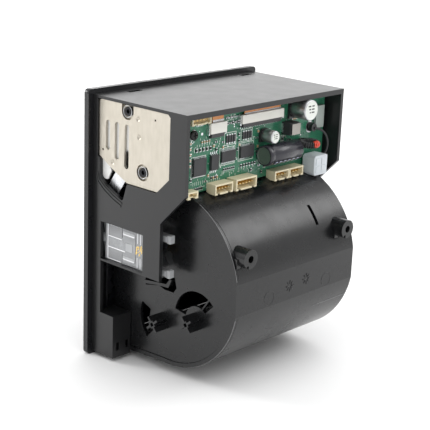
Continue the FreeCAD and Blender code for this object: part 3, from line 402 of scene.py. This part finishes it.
# ---- mesh building --------------------------------------------------------------
class Kit:
    """Collects the faces of one piece, in millimetres, each with its material's index."""

    def __init__(self):
        self.points, self.faces, self.looks, self.smooth = [], [], [], []

    def add(self, points, faces, look=0, smooth=False):
        start = len(self.points)
        self.points += [tuple(p) for p in points]
        self.faces += [[start + i for i in face] for face in faces]
        self.looks += [look] * len(faces)
        self.smooth += [smooth] * len(faces)

    def box(self, x0, x1, y0, y1, z0, z1, look=0):
        points = [(x, y, z) for x in (x0, x1) for y in (y0, y1) for z in (z0, z1)]
        self.add(points, [(0, 1, 3, 2), (4, 6, 7, 5), (0, 4, 5, 1), (2, 3, 7, 6),
                          (0, 2, 6, 4), (1, 5, 7, 3)], look)

    def prism(self, outline, axis, low, high, look=0):
        """outline is (first, second) in the two axes after axis, in cyclic order."""
        order = {"x": (2, 0, 1), "y": (1, 2, 0), "z": (0, 1, 2)}[axis]
        count = len(outline)
        points = []
        for level in (low, high):
            for a, b in outline:
                raw = (a, b, level)
                points.append(tuple(raw[i] for i in order))
        sides = [(i, (i + 1) % count, count + (i + 1) % count, count + i) for i in range(count)]
        self.add(points, sides + [tuple(reversed(range(count))),
                                  tuple(range(count, 2 * count))], look)

    def lathe(self, profile, centre, axis, look=0, sides=40):
        """profile is (distance along axis, radius[, look]), from one end to the other."""
        along = "xyz".index(axis)
        first, second = [i for i in range(3) if i != along]
        rings = []
        for row in profile:
            ring = []
            for k in range(sides):
                turn = 2 * math.pi * k / sides
                point = list(centre)
                point[along] = row[0]
                point[first] += row[1] * math.cos(turn)
                point[second] += row[1] * math.sin(turn)
                ring.append(point)
            rings.append(ring)
        for i in range(len(rings) - 1):
            shade = profile[i + 1][2] if len(profile[i + 1]) > 2 else look
            bend = abs(profile[i + 1][0] - profile[i][0]) > 0.02
            faces = [(k, (k + 1) % sides, sides + (k + 1) % sides, sides + k)
                     for k in range(sides)]
            self.add(rings[i] + rings[i + 1], faces, shade, bend)
        self.add(rings[0], [tuple(range(sides))],
                 profile[0][2] if len(profile[0]) > 2 else look)
        self.add(rings[-1], [tuple(range(sides))],
                 profile[-1][2] if len(profile[-1]) > 2 else look)

    def tube(self, path, radius, look=0, sides=8, closed=False):
        path = [Vector(p) for p in path]
        count = len(path)
        points, normal = [], None
        for i, point in enumerate(path):
            if closed:
                run = path[(i + 1) % count] - path[i - 1]
            else:
                run = path[min(i + 1, count - 1)] - path[max(i - 1, 0)]
            run.normalize()
            if normal is None:
                normal = run.orthogonal().normalized()
            normal = (normal - run * normal.dot(run)).normalized()
            side = run.cross(normal)
            for k in range(sides):
                turn = 2 * math.pi * k / sides
                points.append(point + radius * (math.cos(turn) * normal + math.sin(turn) * side))
        faces = []
        for i in range(count if closed else count - 1):
            here, there = i * sides, ((i + 1) % count) * sides
            faces += [(here + k, here + (k + 1) % sides, there + (k + 1) % sides, there + k)
                      for k in range(sides)]
        self.add(points, faces, look, True)
        if not closed:
            last = (count - 1) * sides
            self.add(points, [tuple(reversed(range(sides))), tuple(range(last, last + sides))],
                     look)

    def build(self, name, body, looks, weld=True):
        mesh = bpy.data.meshes.new(name)
        mesh.from_pydata([tuple(c * MM for c in p) for p in self.points], [], self.faces)
        for look in looks:
            mesh.materials.append(MATS[look])
        mesh.polygons.foreach_set("material_index", self.looks)
        mesh.polygons.foreach_set("use_smooth", self.smooth)
        edit = bmesh.new()
        edit.from_mesh(mesh)
        if weld:
            bmesh.ops.remove_doubles(edit, verts=edit.verts, dist=1e-7)
        bmesh.ops.recalc_face_normals(edit, faces=edit.faces)
        edit.to_mesh(mesh)
        edit.free()
        piece = bpy.data.objects.new(name, mesh)
        bpy.context.collection.objects.link(piece)
        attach(piece, body)
        return piece


def extent(node):
    """A node's box in millimetres: x0, x1, y0, y1, z0, z1."""
    low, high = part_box(node)
    return tuple(c / MM for pair in zip(low, high) for c in pair)


def helix(centre, axis, start, end, radius, turns):
    steps = 14
    along = "xyz".index(axis)
    first, second = [i for i in range(3) if i != along]
    path = []
    for i in range(int(turns * steps) + 1):
        share = i / (turns * steps)
        point = list(centre)
        point[along] = start + (end - start) * share
        point[first] += radius * math.cos(2 * math.pi * turns * share)
        point[second] += radius * math.sin(2 * math.pi * turns * share)
        path.append(point)
    return path


# ---- board: small parts, leads, ink, pads ----------------------------------------
# Places on the board are (x, z) in millimetres, and BOARD is its rear face.
BOARD = extent("main_board")[3]
TAN, BLACK, SOLDER, INK = "part_tan", "part_black", "solder", "ink_and_glare_white"
BOARD_SCREWS = ((41.9, 51.9, 2.45), (-40.7, 45.0, 3.0))    # x, z, pad radius
ARRAYS = ((14.2, 45.4), (3.0, 45.6))                        # lower left corner
CANS = ((-28.2, 56.3, 5.1, 63.2), (-5.6, 45.7, 3.15, 60.6))  # x, z, radius, end
SLEEVE_MIDDLE = (0, 58.0, 37.0)
CHOKE_MIDDLE = (-31.9, 59.0, 39.0)
# x0, x1, z0, z1, depth, pins
WIRE_SOCKETS = ((33.8, 46.0, 56.9, 60.9, 3.4, 5), (42.0, 48.6, 23.9, 27.3, 4.6, 2),
                (20.3, 32.2, 23.4, 28.3, 5.8, 5), (4.3, 18.6, 23.2, 28.7, 6.2, 6),
                (-19.9, -9.3, 23.2, 28.0, 5.8, 4), (-30.6, -20.1, 23.2, 28.0, 5.8, 4))
POWER_SOCKET = (-45.0, -34.8, BOARD, BOARD + 9.5, 22.3, 32.3)
# x0, x1, z0, z1, conductors
RIBBON_ENDS = ((-15.8, 9.8, 57.3, 58.3, 34), (24.0, 31.2, 56.2, 57.6, 10))
# single chip parts, placed one by one: x, z, upright
LOOSE_PARTS = ((27.2, 46.9, False), (26.6, 43.3, True), (22.4, 46.2, False),
               (22.3, 43.7, True), (11.7, 48.3, True), (11.6, 45.3, True),
               (11.3, 43.2, False), (12.4, 41.4, True), (42.9, 31.2, True),
               (-1.8, 48.0, True), (-0.8, 45.0, False), (-1.9, 40.7, True),
               (-1.0, 38.4, False), (-19.9, 42.0, True), (-20.6, 49.2, True),
               (-21.3, 45.4, False), (2.4, 29.9, True), (-3.0, 31.2, False),
               (-5.2, 27.8, True), (-7.4, 30.2, True), (28.6, 45.2, True),
               (41.8, 35.2, True), (33.6, 29.4, False), (31.6, 31.8, True))
# outlines of white ink: x0, x1, z0, z1
INK_FRAMES = ((13.3, 21.3, 44.1, 50.1), (2.1, 10.1, 44.3, 50.3), (33.2, 42.8, 31.9, 41.7),
              (13.8, 24.2, 34.9, 43.3), (1.0, 11.4, 35.1, 43.9), (-21.0, -18.8, 40.6, 43.4))
# zones with scattered ticks that stand for no particular mark: x0, x1, z0, z1, count
INK_ZONES = ((25.0, 44.0, 42.6, 50.6, 16), (30.6, 43.6, 24.2, 31.4, 12),
             (-0.8, 30.0, 28.8, 31.0, 16), (-3.0, 12.6, 44.2, 52.0, 9),
             (-9.0, 1.6, 29.0, 37.0, 12), (20.9, 22.6, 50.0, 58.2, 6),
             (12.2, 21.6, 51.6, 58.6, 12), (-32.0, -18.0, 41.6, 52.4, 10))
PAD_COUNT = 110
PLATE_SCREWS = ((22.7, 59.2), (33.3, 32.7))                 # y, z, on each side plate


def small_parts():
    """Two-ended chip parts: a black or tan body between bright ends."""
    kit = Kit()
    black, tan, bright = range(3)

    def part(x, z, upright, look, length=1.5, width=0.8, height=0.55):
        a, b = (width / 2, length / 2) if upright else (length / 2, width / 2)
        cap = 0.28
        if upright:
            kit.box(x - a, x + a, BOARD - 0.02, BOARD + height, z - b + cap, z + b - cap, look)
            for low in (z - b, z + b - cap):
                kit.box(x - a - 0.03, x + a + 0.03, BOARD - 0.02, BOARD + height + 0.03,
                        low, low + cap, bright)
        else:
            kit.box(x - a + cap, x + a - cap, BOARD - 0.02, BOARD + height, z - b, z + b, look)
            for low in (x - a, x + a - cap):
                kit.box(low, low + cap, BOARD - 0.02, BOARD + height + 0.03,
                        z - b - 0.03, z + b + 0.03, bright)

    rng = random.Random(7)
    for i in range(5):
        part(39.7 - 2.25 * i, 44.6, True, black, 1.8, 0.9)
    for i in range(4):
        part(36.4 - 1.6 * i, 48.0, True, tan, 1.3, 0.6)
    for x, z, upright in LOOSE_PARTS:
        part(x, z, upright, rng.choice((black, black, tan)))
    for i in range(6):
        part(21.3 - 1.35 * i, 33.0, True, black, 1.3, 0.6)
        part(9.5 - 1.9 * i, 33.0, True, black, 1.5, 0.8)
    for i in range(4):
        part(29.5 - 1.3 * i, 30.3, True, tan if i % 2 else black, 1.5, 0.7)
        part(39.6 - 1.35 * i, 26.6, True, black, 1.5, 0.7)
    for i in range(5):
        part(43.7, 48.3 - 2.6 * i, True, tan, 1.3, 0.8)
        part(20.4 - 1.9 * i, 57.0, False, black, 1.3, 0.7)
        part(20.2 - 1.8 * i, 54.6, i % 2 == 0, black, 1.4, 0.8, 0.8)
    part(-24.6, 40.3, False, black, 2.6, 1.6, 1.1)
    part(-27.8, 51.0, False, tan, 3.6, 1.2, 0.8)
    return kit.build("small_parts", "housing", (BLACK, TAN, SOLDER))


def chip_leads():
    """Gull-wing leads of the chips, and the bright tags at the ends of the ribbon sockets."""
    kit = Kit()

    def row(x0, x1, z, way, count, width, reach=1.1):
        shape = [(z - 0.1 * way, BOARD + 0.78), (z + 0.45 * way, BOARD + 0.78),
                 (z + 0.62 * way, BOARD + 0.16), (z + reach * way, BOARD + 0.16),
                 (z + reach * way, BOARD), (z + 0.48 * way, BOARD),
                 (z + 0.32 * way, BOARD + 0.62), (z - 0.1 * way, BOARD + 0.62)]
        for i in range(count):
            x = x0 + (x1 - x0) * (i + 0.5) / count
            kit.prism([(b, a) for a, b in shape], "x", x - width / 2, x + width / 2)

    def column(z0, z1, x, way, count, width):
        for i in range(count):
            z = z0 + (z1 - z0) * (i + 0.5) / count
            shape = [(z - width / 2, x), (z + width / 2, x),
                     (z + width / 2, x + 0.85 * way), (z - width / 2, x + 0.85 * way)]
            kit.prism(shape, "y", BOARD, BOARD + 0.35)

    row(26.0, 30.8, 41.0, 1, 4, 0.5, 1.5)
    row(26.0, 30.8, 34.0, -1, 4, 0.5, 1.5)
    for x0, x1, low, high in ((14.4, 23.6, 36.6, 41.6), (1.6, 10.8, 36.8, 42.2)):
        row(x0, x1, high, 1, 14, 0.26)
        row(x0, x1, low, -1, 14, 0.26)
    row(34.2, 41.8, 40.8, 1, 12, 0.25, 0.8)
    row(34.2, 41.8, 32.8, -1, 12, 0.25, 0.8)
    column(33.0, 40.6, 42.0, 1, 12, 0.25)
    column(33.0, 40.6, 34.0, -1, 12, 0.25)
    for i in range(5):
        x = 39.9 - 0.95 * i
        kit.box(x - 0.2, x + 0.2, BOARD, BOARD + 0.25, 55.5, 57.1)
    for i in range(19):
        x = 10.9 - 1.5 * i
        kit.box(x - 0.18, x + 0.18, BOARD, BOARD + 0.2, 50.6, 51.5)
    kit.box(12.02, 12.7, BOARD, BOARD + 1.8, 52.6, 57.3)
    kit.box(-18.0, -17.32, BOARD, BOARD + 1.8, 52.6, 57.3)
    kit.box(33.02, 33.6, BOARD, BOARD + 1.8, 50.8, 55.8)
    kit.box(21.9, 22.48, BOARD, BOARD + 1.8, 50.8, 55.8)
    return kit.build("chip_leads", "housing", (SOLDER,))


def board_ink():
    """Plain outline marks and ticks; nothing here is a letter or a number."""
    kit = Kit()

    def stroke(x0, x1, z0, z1):
        kit.box(x0, x1, BOARD - 0.01, BOARD + 0.03, z0, z1)

    def frame_of(x0, x1, z0, z1):
        line = 0.22
        stroke(x0, x1, z0, z0 + line)
        stroke(x0, x1, z1 - line, z1)
        stroke(x0, x0 + line, z0 + line, z1 - line)
        stroke(x1 - line, x1, z0 + line, z1 - line)

    for edges in INK_FRAMES:
        frame_of(*edges)
    for i in range(7):
        stroke(39.0 - 1.6 * i, 39.2 - 1.6 * i, 46.0, 47.0)
        stroke(31.2 - 1.3 * i, 31.4 - 1.3 * i, 28.4, 29.3)
    for i in range(6):
        stroke(41.0 - 1.25 * i, 41.2 - 1.25 * i, 28.2, 29.9)
        stroke(21.9 - 1.35 * i, 22.1 - 1.35 * i, 31.2, 32.0)
        stroke(10.5 - 1.9 * i, 10.7 - 1.9 * i, 31.1, 32.1)
        stroke(20.9 - 1.9 * i, 22.0 - 1.9 * i, 55.7, 55.95)
    for i in range(5):
        stroke(40.7 - 2.25 * i, 41.0 - 2.25 * i, 43.6, 45.7)
        stroke(24.8 - 0.3 * i, 25.1 - 0.3 * i, 44.2 + 1.1 * i, 44.9 + 1.1 * i)
    rng = random.Random(11)
    for x0, x1, z0, z1, count in INK_ZONES:
        for _ in range(count):
            x, z = rng.uniform(x0, x1), rng.uniform(z0, z1)
            if rng.random() < 0.6:
                stroke(x, x + 0.2, z, z + rng.uniform(0.6, 1.3))
            else:
                stroke(x, x + rng.uniform(0.6, 1.5), z, z + 0.2)
    return kit.build("board_ink", "housing", (INK,), weld=False)


def board_pads():
    """Bright rings under the screws, one test pad, and scattered dots of solder."""
    kit = Kit()
    for x, z, outer in BOARD_SCREWS:
        kit.lathe([(BOARD - 0.01, outer), (BOARD + 0.05, outer), (BOARD + 0.05, 0.8)],
                  (x, 0, z), "y", 0, 32)
    kit.lathe([(BOARD - 0.01, 0.65), (BOARD + 0.06, 0.65), (BOARD + 0.06, 0.3)],
              (36.2, 0, 51.7), "y", 0, 20)
    rng = random.Random(5)
    for _ in range(PAD_COUNT):
        x, z = rng.uniform(-34.0, 44.5), rng.uniform(29.0, 60.5)
        radius = rng.choice((0.22, 0.28, 0.36))
        kit.lathe([(BOARD - 0.01, radius), (BOARD + 0.035, radius)], (x, 0, z), "y", 0, 8)
    return kit.build("board_pads", "housing", (SOLDER,), weld=False)


def array_ends():
    """Four-way resistor arrays: the black centres stay CAD, the light ends are here."""
    kit = Kit()
    for x0, z0 in ARRAYS:
        for i in range(4):
            x = x0 + 0.55 + 1.7 * i
            for z in (z0 - 0.6, z0 + 3.35):
                kit.box(x - 0.42, x + 0.42, BOARD, BOARD + 0.5, z, z + 0.65)
    return kit.build("array_ends", "housing", (SOLDER,))


def header_pins():
    """Plated pins with pointed tips in the mouths of the wire sockets."""
    kit = Kit()
    for x0, x1, z0, z1, depth, pins in WIRE_SOCKETS:
        pitch, mid = (x1 - x0 - 1.6) / pins, (z0 + z1) / 2
        # a darker tan sheet at the bottom of the mouth, painted shade, then a plated sleeve on each
        # pin
        kit.box(x0 + 0.82, x1 - 0.82, BOARD + 1.58, BOARD + 1.75, z0 + 1.0, z1 - 0.82, 1)
        for i in range(pins):
            x = x0 + 0.8 + pitch * (i + 0.5)
            kit.prism([(mid - 0.31, x - 0.31), (mid + 0.31, x - 0.31), (mid + 0.31, x + 0.31),
                       (mid - 0.31, x + 0.31)], "y", BOARD + 1.76, BOARD + depth - 1.5)
            kit.prism([(mid - 0.31, x - 0.31), (mid + 0.31, x - 0.31), (mid + 0.12, x + 0.12),
                       (mid - 0.12, x + 0.12)], "y", BOARD + depth - 1.5, BOARD + depth - 1.1)
    return kit.build("header_pins", "housing", ("gold", "nylon_mouth_shade"))


def ribbon_stripes():
    """Bare grey ends of the ribbons, with their conductors, just above the sockets."""
    kit = Kit()
    face = extent("flat_ribbons")[3]
    for x0, x1, z0, z1, count in RIBBON_ENDS:
        kit.box(x0 + 0.05, x1 - 0.05, face - 0.01, face + 0.06, z0, z1, 0)
        for i in range(count):
            x = x0 + (x1 - x0) * (i + 0.5) / count
            kit.box(x - 0.16, x + 0.16, face + 0.05, face + 0.10, z0 + 0.1, z1 - 0.1, 1)
    return kit.build("ribbon_stripes", "housing", ("ribbon_grey", SOLDER))


# ---- board: tall parts -----------------------------------------------------------
def can_parts():
    """Can capacitors on chamfered bases, with a crimp, a bright lip and plain end marks; the end
    face is painted white, a painted reflection of the silver top.
    """
    kit = Kit()
    for x, z, edge, end in CANS:
        radius, corner = edge, 0.55 * edge
        kit.prism([(z - edge, x - edge), (z + corner, x - edge), (z + edge, x - corner),
                   (z + edge, x + corner), (z + corner, x + edge), (z - edge, x + edge)],
                  "y", BOARD, BOARD + 1.2, 1)
        # the rows with look 2 paint the end face white: a painted reflection standing for the glare
        # off the silver top
        kit.lathe([(BOARD + 1.0, radius - 0.4, 0), (BOARD + 2.0, radius - 0.35, 0),
                   (BOARD + 2.3, radius - 0.05, 0), (end - 0.7, radius - 0.02, 0),
                   (end - 0.25, radius - 0.15, 0), (end, radius - 0.6, 0),
                   (end, radius - 0.9, 2), (end - 0.12, radius - 1.1, 2), (end - 0.12, 0.4, 2)],
                  (x, 0, z), "y", 0, 48)
        for i in range(3):
            kit.box(x - 0.42 * radius, x - 0.08 * radius + 0.5 * i * 0.3, end - 0.13, end - 0.07,
                    z + radius * (0.36 - 0.30 * i), z + radius * (0.48 - 0.30 * i), 1)
            kit.box(x + 0.10 * radius, x + (0.46 - 0.1 * i) * radius, end - 0.13, end - 0.07,
                    z + radius * (0.36 - 0.30 * i), z + radius * (0.48 - 0.30 * i), 1)
    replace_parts(kit.build("can_parts", "housing",
                          ("can_metal", BLACK, "ink_and_glare_white")), "can_capacitors")


def sleeve_part():
    """Lying capacitor: shrink sleeve with a crimp groove, rubber end, two rows of bars."""
    kit = Kit()
    kit.lathe([(-24.4, 3.4, 0), (-24.4, 4.6, 0), (-24.1, 4.95, 0), (-4.6, 4.97, 0),
               (-4.1, 4.72, 0), (-3.5, 4.72, 0), (-3.0, 4.97, 0), (-1.1, 4.95, 0),
               (-0.7, 4.7, 0), (-0.62, 4.1, 0), (-0.9, 3.95, 1), (-1.05, 3.9, 1),
               (-1.05, 0.5, 1)], SLEEVE_MIDDLE, "x", 0, 56)
    for i in range(6):
        left = -22.6 + 3.1 * i
        for turn in (-58, -44):
            points = []
            for r in (4.9, 5.0):
                for k in range(4):
                    angle = math.radians(turn + 2.6 * k)
                    shift = 0.28 * k
                    for x in (left + shift, left + 1.5 + shift):
                        points.append((x, SLEEVE_MIDDLE[1] + r * math.cos(angle),
                                       SLEEVE_MIDDLE[2] + r * math.sin(angle)))
            faces = []
            for k in range(3):
                a = 2 * k
                faces += [(a, a + 1, a + 3, a + 2), (8 + a, 8 + a + 2, 8 + a + 3, 8 + a + 1),
                          (a, a + 2, a + 10, a + 8), (a + 1, a + 9, a + 11, a + 3)]
            faces += [(0, 8, 9, 1), (6, 7, 15, 14)]
            kit.add(points, faces, 2)
    for x in (-23.4, -2.0):
        kit.tube([(x, 57.2, 37.0), (x, 54.6, 36.4), (x, BOARD, 36.4)], 0.35, 3)
    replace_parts(kit.build("sleeve_part", "housing",
                          ("sleeve_black", "bung_green", "sleeve_mark", SOLDER)),
                "bulk_capacitor")


def wound_choke():
    """Ring core wound with wire; the last turns before the end are red."""
    kit = Kit()
    middle = Vector(CHOKE_MIDDLE)
    turns, steps = 30, 12

    def at(share, wind, lift):
        big = 2 * math.pi * share + math.radians(150)
        small = 2 * math.pi * wind
        out = 4.5 + lift * math.cos(small)
        return middle + Vector((out * math.cos(big), out * math.sin(big), lift * math.sin(small)))

    ring = 40
    points = [at(i / ring, k / 10, 1.05) for i in range(ring) for k in range(10)]
    faces = [(i * 10 + k, i * 10 + (k + 1) % 10, ((i + 1) % ring) * 10 + (k + 1) % 10,
              ((i + 1) % ring) * 10 + k) for i in range(ring) for k in range(10)]
    kit.add(points, faces, 0, True)
    first = int(turns * 0.055) * steps
    last = int(turns * 0.97) * steps
    path = [at(i / (turns * steps), i / steps, 1.4) for i in range(turns * steps + 1)]
    red0, red1 = int(turns * steps * 0.80), int(turns * steps * 0.92)
    kit.tube(path[first:red0], 0.40, 0, 6)
    kit.tube(path[red0 - 1:red1], 0.40, 1, 6)
    kit.tube(path[red1 - 1:last], 0.40, 0, 6)
    for dx in (-1.6, 1.6):
        x = CHOKE_MIDDLE[0] + dx
        kit.tube([(x, 56.0, 38.6), (x, 54.4, 38.9), (x, BOARD, 39.0)], 0.4, 2, 8)
    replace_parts(kit.build("wound_choke", "housing",
                          ("choke_black", "wire_red", SOLDER)), "choke")


def inductor_face():
    """Ferrite rear face and end tags of the power inductor."""
    kit = Kit()
    x0, x1, y0, y1, z0, z1 = extent("power_inductor")
    kit.box(x0 + 0.35, x1 - 0.35, y1 - 0.02, y1 + 0.12, z0 + 0.35, z1 - 0.35, 0)
    kit.box(x1 - 0.01, x1 + 0.25, BOARD, BOARD + 1.0, z0 + 0.8, z1 - 0.8, 1)
    kit.box(x0 - 0.25, x0 + 0.01, BOARD, BOARD + 1.0, z0 + 0.8, z1 - 0.8, 1)
    return kit.build("inductor_face", "housing", ("ferrite_grey", SOLDER))


def power_housing():
    """Power header in milky plastic: four shallow squares in its mouth, a ramp on top."""
    kit = Kit()
    x0, x1, y0, y1, z0, z1 = POWER_SOCKET
    cut = 1.0
    side = [(z0, x0 + cut), (z0 + cut, x0), (z1 - cut, x0), (z1, x0 + cut),
            (z1, x1 - cut), (z1 - cut, x1), (z0 + cut, x1), (z0, x1 - cut)]
    kit.prism(side, "y", y0 + 1.6, y1 - 0.5, 0)
    kit.box(x0 + 0.3, x1 - 0.3, y1 - 0.52, y1 - 0.34, z0 + 0.3, z1 - 0.3, 0)
    for low, high in ((x0 + 1.3, x0 + 4.7), (x1 - 4.7, x1 - 1.3)):
        for bottom, top in ((z0 + 1.4, z0 + 4.7), (z1 - 4.7, z1 - 1.4)):
            kit.prism([(bottom, low), (top, low), (top, high), (bottom, high)], "y",
                      y1 - 0.36, y1 - 0.05, 0)
    kit.box(x0 + 3.6, x1 - 3.6, y0 + 3.0, y1 - 1.6, z1 - 0.1, z1 - 0.02, 0)
    piece = kit.build("power_housing", "housing", ("power_nylon",))
    round_edges(piece, 0.18)
    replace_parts(piece, "power_socket")


# ---- springs ---------------------------------------------------------------------
KEY_AXIS = (49.4, 0, -5.9)


def springs():
    """Coils in place of the CAD's spring tubes."""
    kit = Kit()
    coil = helix(KEY_AXIS, "y", 10.1, 30.2, 2.42, 15)
    lead_in = helix(KEY_AXIS, "y", 10.02, 10.1, 2.42, 1)
    kit.tube(lead_in[:-1] + coil, 0.26, 0, 6)
    piece = kit.build("button_coil", "housing", ("bright_steel",))
    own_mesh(piece)
    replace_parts(piece, "button_spring")
    kit = Kit()
    for x in (-20.0, 20.0):
        kit.tube(helix((x, 10.0, 0), "z", 39.4, 46.7, 2.15, 6), 0.32, 0, 6)
    piece = kit.build("head_coils", "housing", ("bright_steel",))
    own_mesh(piece)
    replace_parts(piece, "head_springs")


# ---- release block ----------------------------------------------------------------
def block_lines():
    """Rails, pockets and contact leaves that show in the clear release block; the white bars are
    painted highlights on its inner edges, the block_shade bars painted shade.
    """
    kit = Kit()
    face = extent("release_button")[1]
    out = face + 0.14

    def bar(y0, y1, z0, z1, look=0, high=out):
        kit.box(face - 0.02, high, y0, y1, z0, z1, look)

    bar(8.3, 8.8, -14.8, 2.9)
    bar(8.8, 18.4, 2.4, 2.9)
    bar(8.8, 18.0, -14.8, -14.3)
    bar(8.8, 18.3, -3.5, -3.0)
    bar(8.8, 20.6, -8.9, -8.4)
    bar(18.4, 18.7, -2.2, 2.4, 2)
    bar(18.4, 18.7, -14.3, -9.6, 2)
    for i in range(5):
        bar(9.4, 18.2, -0.9 + 0.6 * i, -0.75 + 0.6 * i, 2, face + 0.05)
        bar(9.4, 18.2, -13.6 + 0.6 * i, -13.45 + 0.6 * i, 2, face + 0.05)
    for i in range(13):
        bar(9.5 + 0.86 * i, 9.8 + 0.86 * i, -8.2, -3.7, 3, face + 0.07)
    for base in (-0.6, -12.8):
        shape = [(19.2, base + 0.3), (19.6, base - 0.1), (26.8, base - 0.1), (27.2, base + 0.3),
                 (27.2, base + 1.5), (26.8, base + 1.9), (19.6, base + 1.9), (19.2, base + 1.5)]
        kit.prism(shape, "x", face - 0.02, out, 3)
        kit.prism([(y, z + 0.35) for y, z in shape[:4]] + [(27.2, base + 0.75),
                  (19.2, base + 0.75)], "x", out - 0.02, out + 0.06, 0)
    kit.prism([(21.0, -7.9), (25.2, -8.1), (25.6, -7.6), (25.6, -4.4), (25.2, -4.0),
               (21.0, -4.2)], "x", face - 0.02, out, 3)
    bar(27.6, 27.9, -12.6, 1.2, 2)
    for y, z, tall, wide in ((28.2, -6.6, 2.6, 0.7), (29.5, -5.4, 1.2, 0.6), (29.3, -7.2, 1.0, 0.5),
                             (30.7, -6.2, 2.2, 0.6), (31.7, -7.0, 2.8, 0.5), (28.9, -4.6, 0.9, 1.4),
                             (27.9, -8.0, 1.6, 0.9), (30.1, -8.4, 1.4, 0.7), (31.2, -4.4, 1.3, 0.8)):
        kit.prism([(y, z), (y + wide, z + 0.3), (y + wide + 0.2, z + tall), (y + 0.3, z + tall)],
                  "x", face - 0.02, face + 0.12, 1)
    for y in (29.0, 31.0, 33.0):
        bar(y, y + 0.35, -2.6, 2.4, 0)
        bar(y, y + 0.35, -14.4, -9.4, 0)
    return kit.build("block_lines", "release",
                     ("block_edge_highlight", "gold", "block_shade", "block_mid"))


# ---- bucket marks and painted highlights --------------------------------------------
RING_MARKS = ((20.8, -21.7, 3.4), (-20.9, -22.2, 3.4))
TICK_MARKS = ((6.1, -19.2), (-5.9, -18.4))


def drum_marks_and_highlights():
    """Lip and seam by the near end, parting lines, and four plain mould marks; the light grey lip
    and the parting line at -23.5 degrees are painted highlights.
    """
    kit = Kit()
    centre_y, centre_z, radius = 41.0, -18.0, 43.5

    def arc(x, r, first, last, thick, look, count=60):
        path = []
        for i in range(count + 1):
            angle = math.radians(first + (last - first) * i / count)
            path.append((x, centre_y + r * math.cos(angle), centre_z + r * math.sin(angle)))
        kit.tube(path, thick, look, 6)

    def on_drum(x, degrees, r=radius):
        angle = math.radians(degrees)
        return (x, centre_y + r * math.cos(angle), centre_z + r * math.sin(angle))

    # light grey tubes are painted highlights on the lip and one parting line; the black ones are the
    # seam and a dark parting line
    arc(43.1, radius - 0.08, 12, 66, 0.2, 0)
    arc(43.1, radius - 0.08, -94, -12, 0.2, 0)
    arc(41.5, radius - 0.03, 12, 66, 0.16, 1)
    arc(41.5, radius - 0.03, -94, -12, 0.16, 1)
    kit.tube([on_drum(x, -23.5, radius + 0.02) for x in (-15, -22, -30, -41)], 0.13, 0, 6)
    kit.tube([on_drum(x, -63.0) for x in (-40, -20, 0, 20, 40)], 0.09, 1, 6)
    for x, z, size in RING_MARKS:
        path = []
        for i in range(28):
            turn = 2 * math.pi * i / 28
            px, pz = x + size * math.cos(turn), z + size * math.sin(turn)
            depth = math.sqrt(radius ** 2 - (pz - centre_z) ** 2)
            path.append((px, min(83.8, centre_y + depth), pz))
        kit.tube(path, 0.13, 1, 5, True)
    for x, z in TICK_MARKS:
        for i in range(8):
            turn = 2 * math.pi * i / 8
            ends = []
            for far in (1.0, 2.7):
                px, pz = x + far * math.cos(turn), z + far * math.sin(turn)
                depth = math.sqrt(radius ** 2 - (pz - centre_z) ** 2)
                ends.append((px, min(83.8, centre_y + depth), pz))
            kit.tube(ends, 0.34, 1, 5)
    return kit.build("drum_marks_and_highlights", "housing", ("drum_line_highlight", BLACK))


# ---- tabs, gap lips, screw cups and floor ---------------------------------------------
def lit_tab_ends():
    """Painted light: lighter ends of the key carrier's two tabs, where they face the light."""
    kit = Kit()
    for z0, z1 in ((2.0, 5.6), (-14.6, -11.0)):
        kit.prism([(z0 - 0.06, 48.54), (z1 + 0.06, 48.54), (z1 + 0.06, 51.46),
                   (z0 - 0.06, 51.46)], "y", 47.6, 49.5)
        kit.box(51.3, 51.52, 43.6, 47.4, z0 + 0.5, z1 - 0.5)
    piece = kit.build("lit_tab_ends", "housing", ("block_mid",))
    round_edges(piece, 0.2)


def gap_liner():
    """Thin lips behind the side gaps of the door, so that no light comes through."""
    kit = Kit()
    for side in (1, -1):
        x0, x1 = sorted((side * 45.8, side * 47.6))
        kit.box(x0, x1, -0.08, 0.7, -53.5, 30.5)
        x0, x1 = sorted((side * 46.9, side * 47.6))
        kit.box(x0, x1, 0.6, 2.2, -52.0, 8.0)
    piece = kit.build("gap_liner", "housing", ("bezel_plastic",))
    round_edges(piece, 0.15)


def cup_rims():
    """Bright rims round the screw cups of both side plates."""
    kit = Kit()
    face = extent("side_plate_near")[1]
    for side in (1, -1):
        for y, z in PLATE_SCREWS:
            path = [(side * (face - 0.02), y + 2.75 * math.cos(2 * math.pi * i / 36),
                     z + 2.75 * math.sin(2 * math.pi * i / 36)) for i in range(36)]
            kit.tube(path, 0.16, 0, 6, True)
    return kit.build("cup_rims", "housing", ("bright_steel",))


def make_floor():
    """White ground that the studio stands on; it isn't part of the object."""
    floor_mesh = bpy.data.meshes.new("floor")
    low = cad_lo.z - 0.0002
    reach = 4.0
    floor_mesh.from_pydata([(-reach, -reach, low), (reach, -reach, low), (reach, reach, low),
                            (-reach, reach, low)], [], [(0, 1, 2, 3)])
    floor = bpy.data.objects.new("floor", floor_mesh)
    paper = Finish("floor_paper", (0.98, 0.98, 0.98), 0.6)
    paper.mottle(60.0, (0.96, 0.96, 0.96), 0.3)
    floor_mesh.materials.append(paper.done())
    bpy.context.collection.objects.link(floor)


def main():
    """Make every visual piece, in a fixed order, and then the floor."""
    for make in (small_parts, chip_leads, board_ink, board_pads, array_ends, header_pins,
                 ribbon_stripes, can_parts, sleeve_part, wound_choke, inductor_face,
                 power_housing, springs, block_lines, drum_marks_and_highlights, lit_tab_ends, gap_liner,
                 cup_rims, make_floor):
        make()


main()
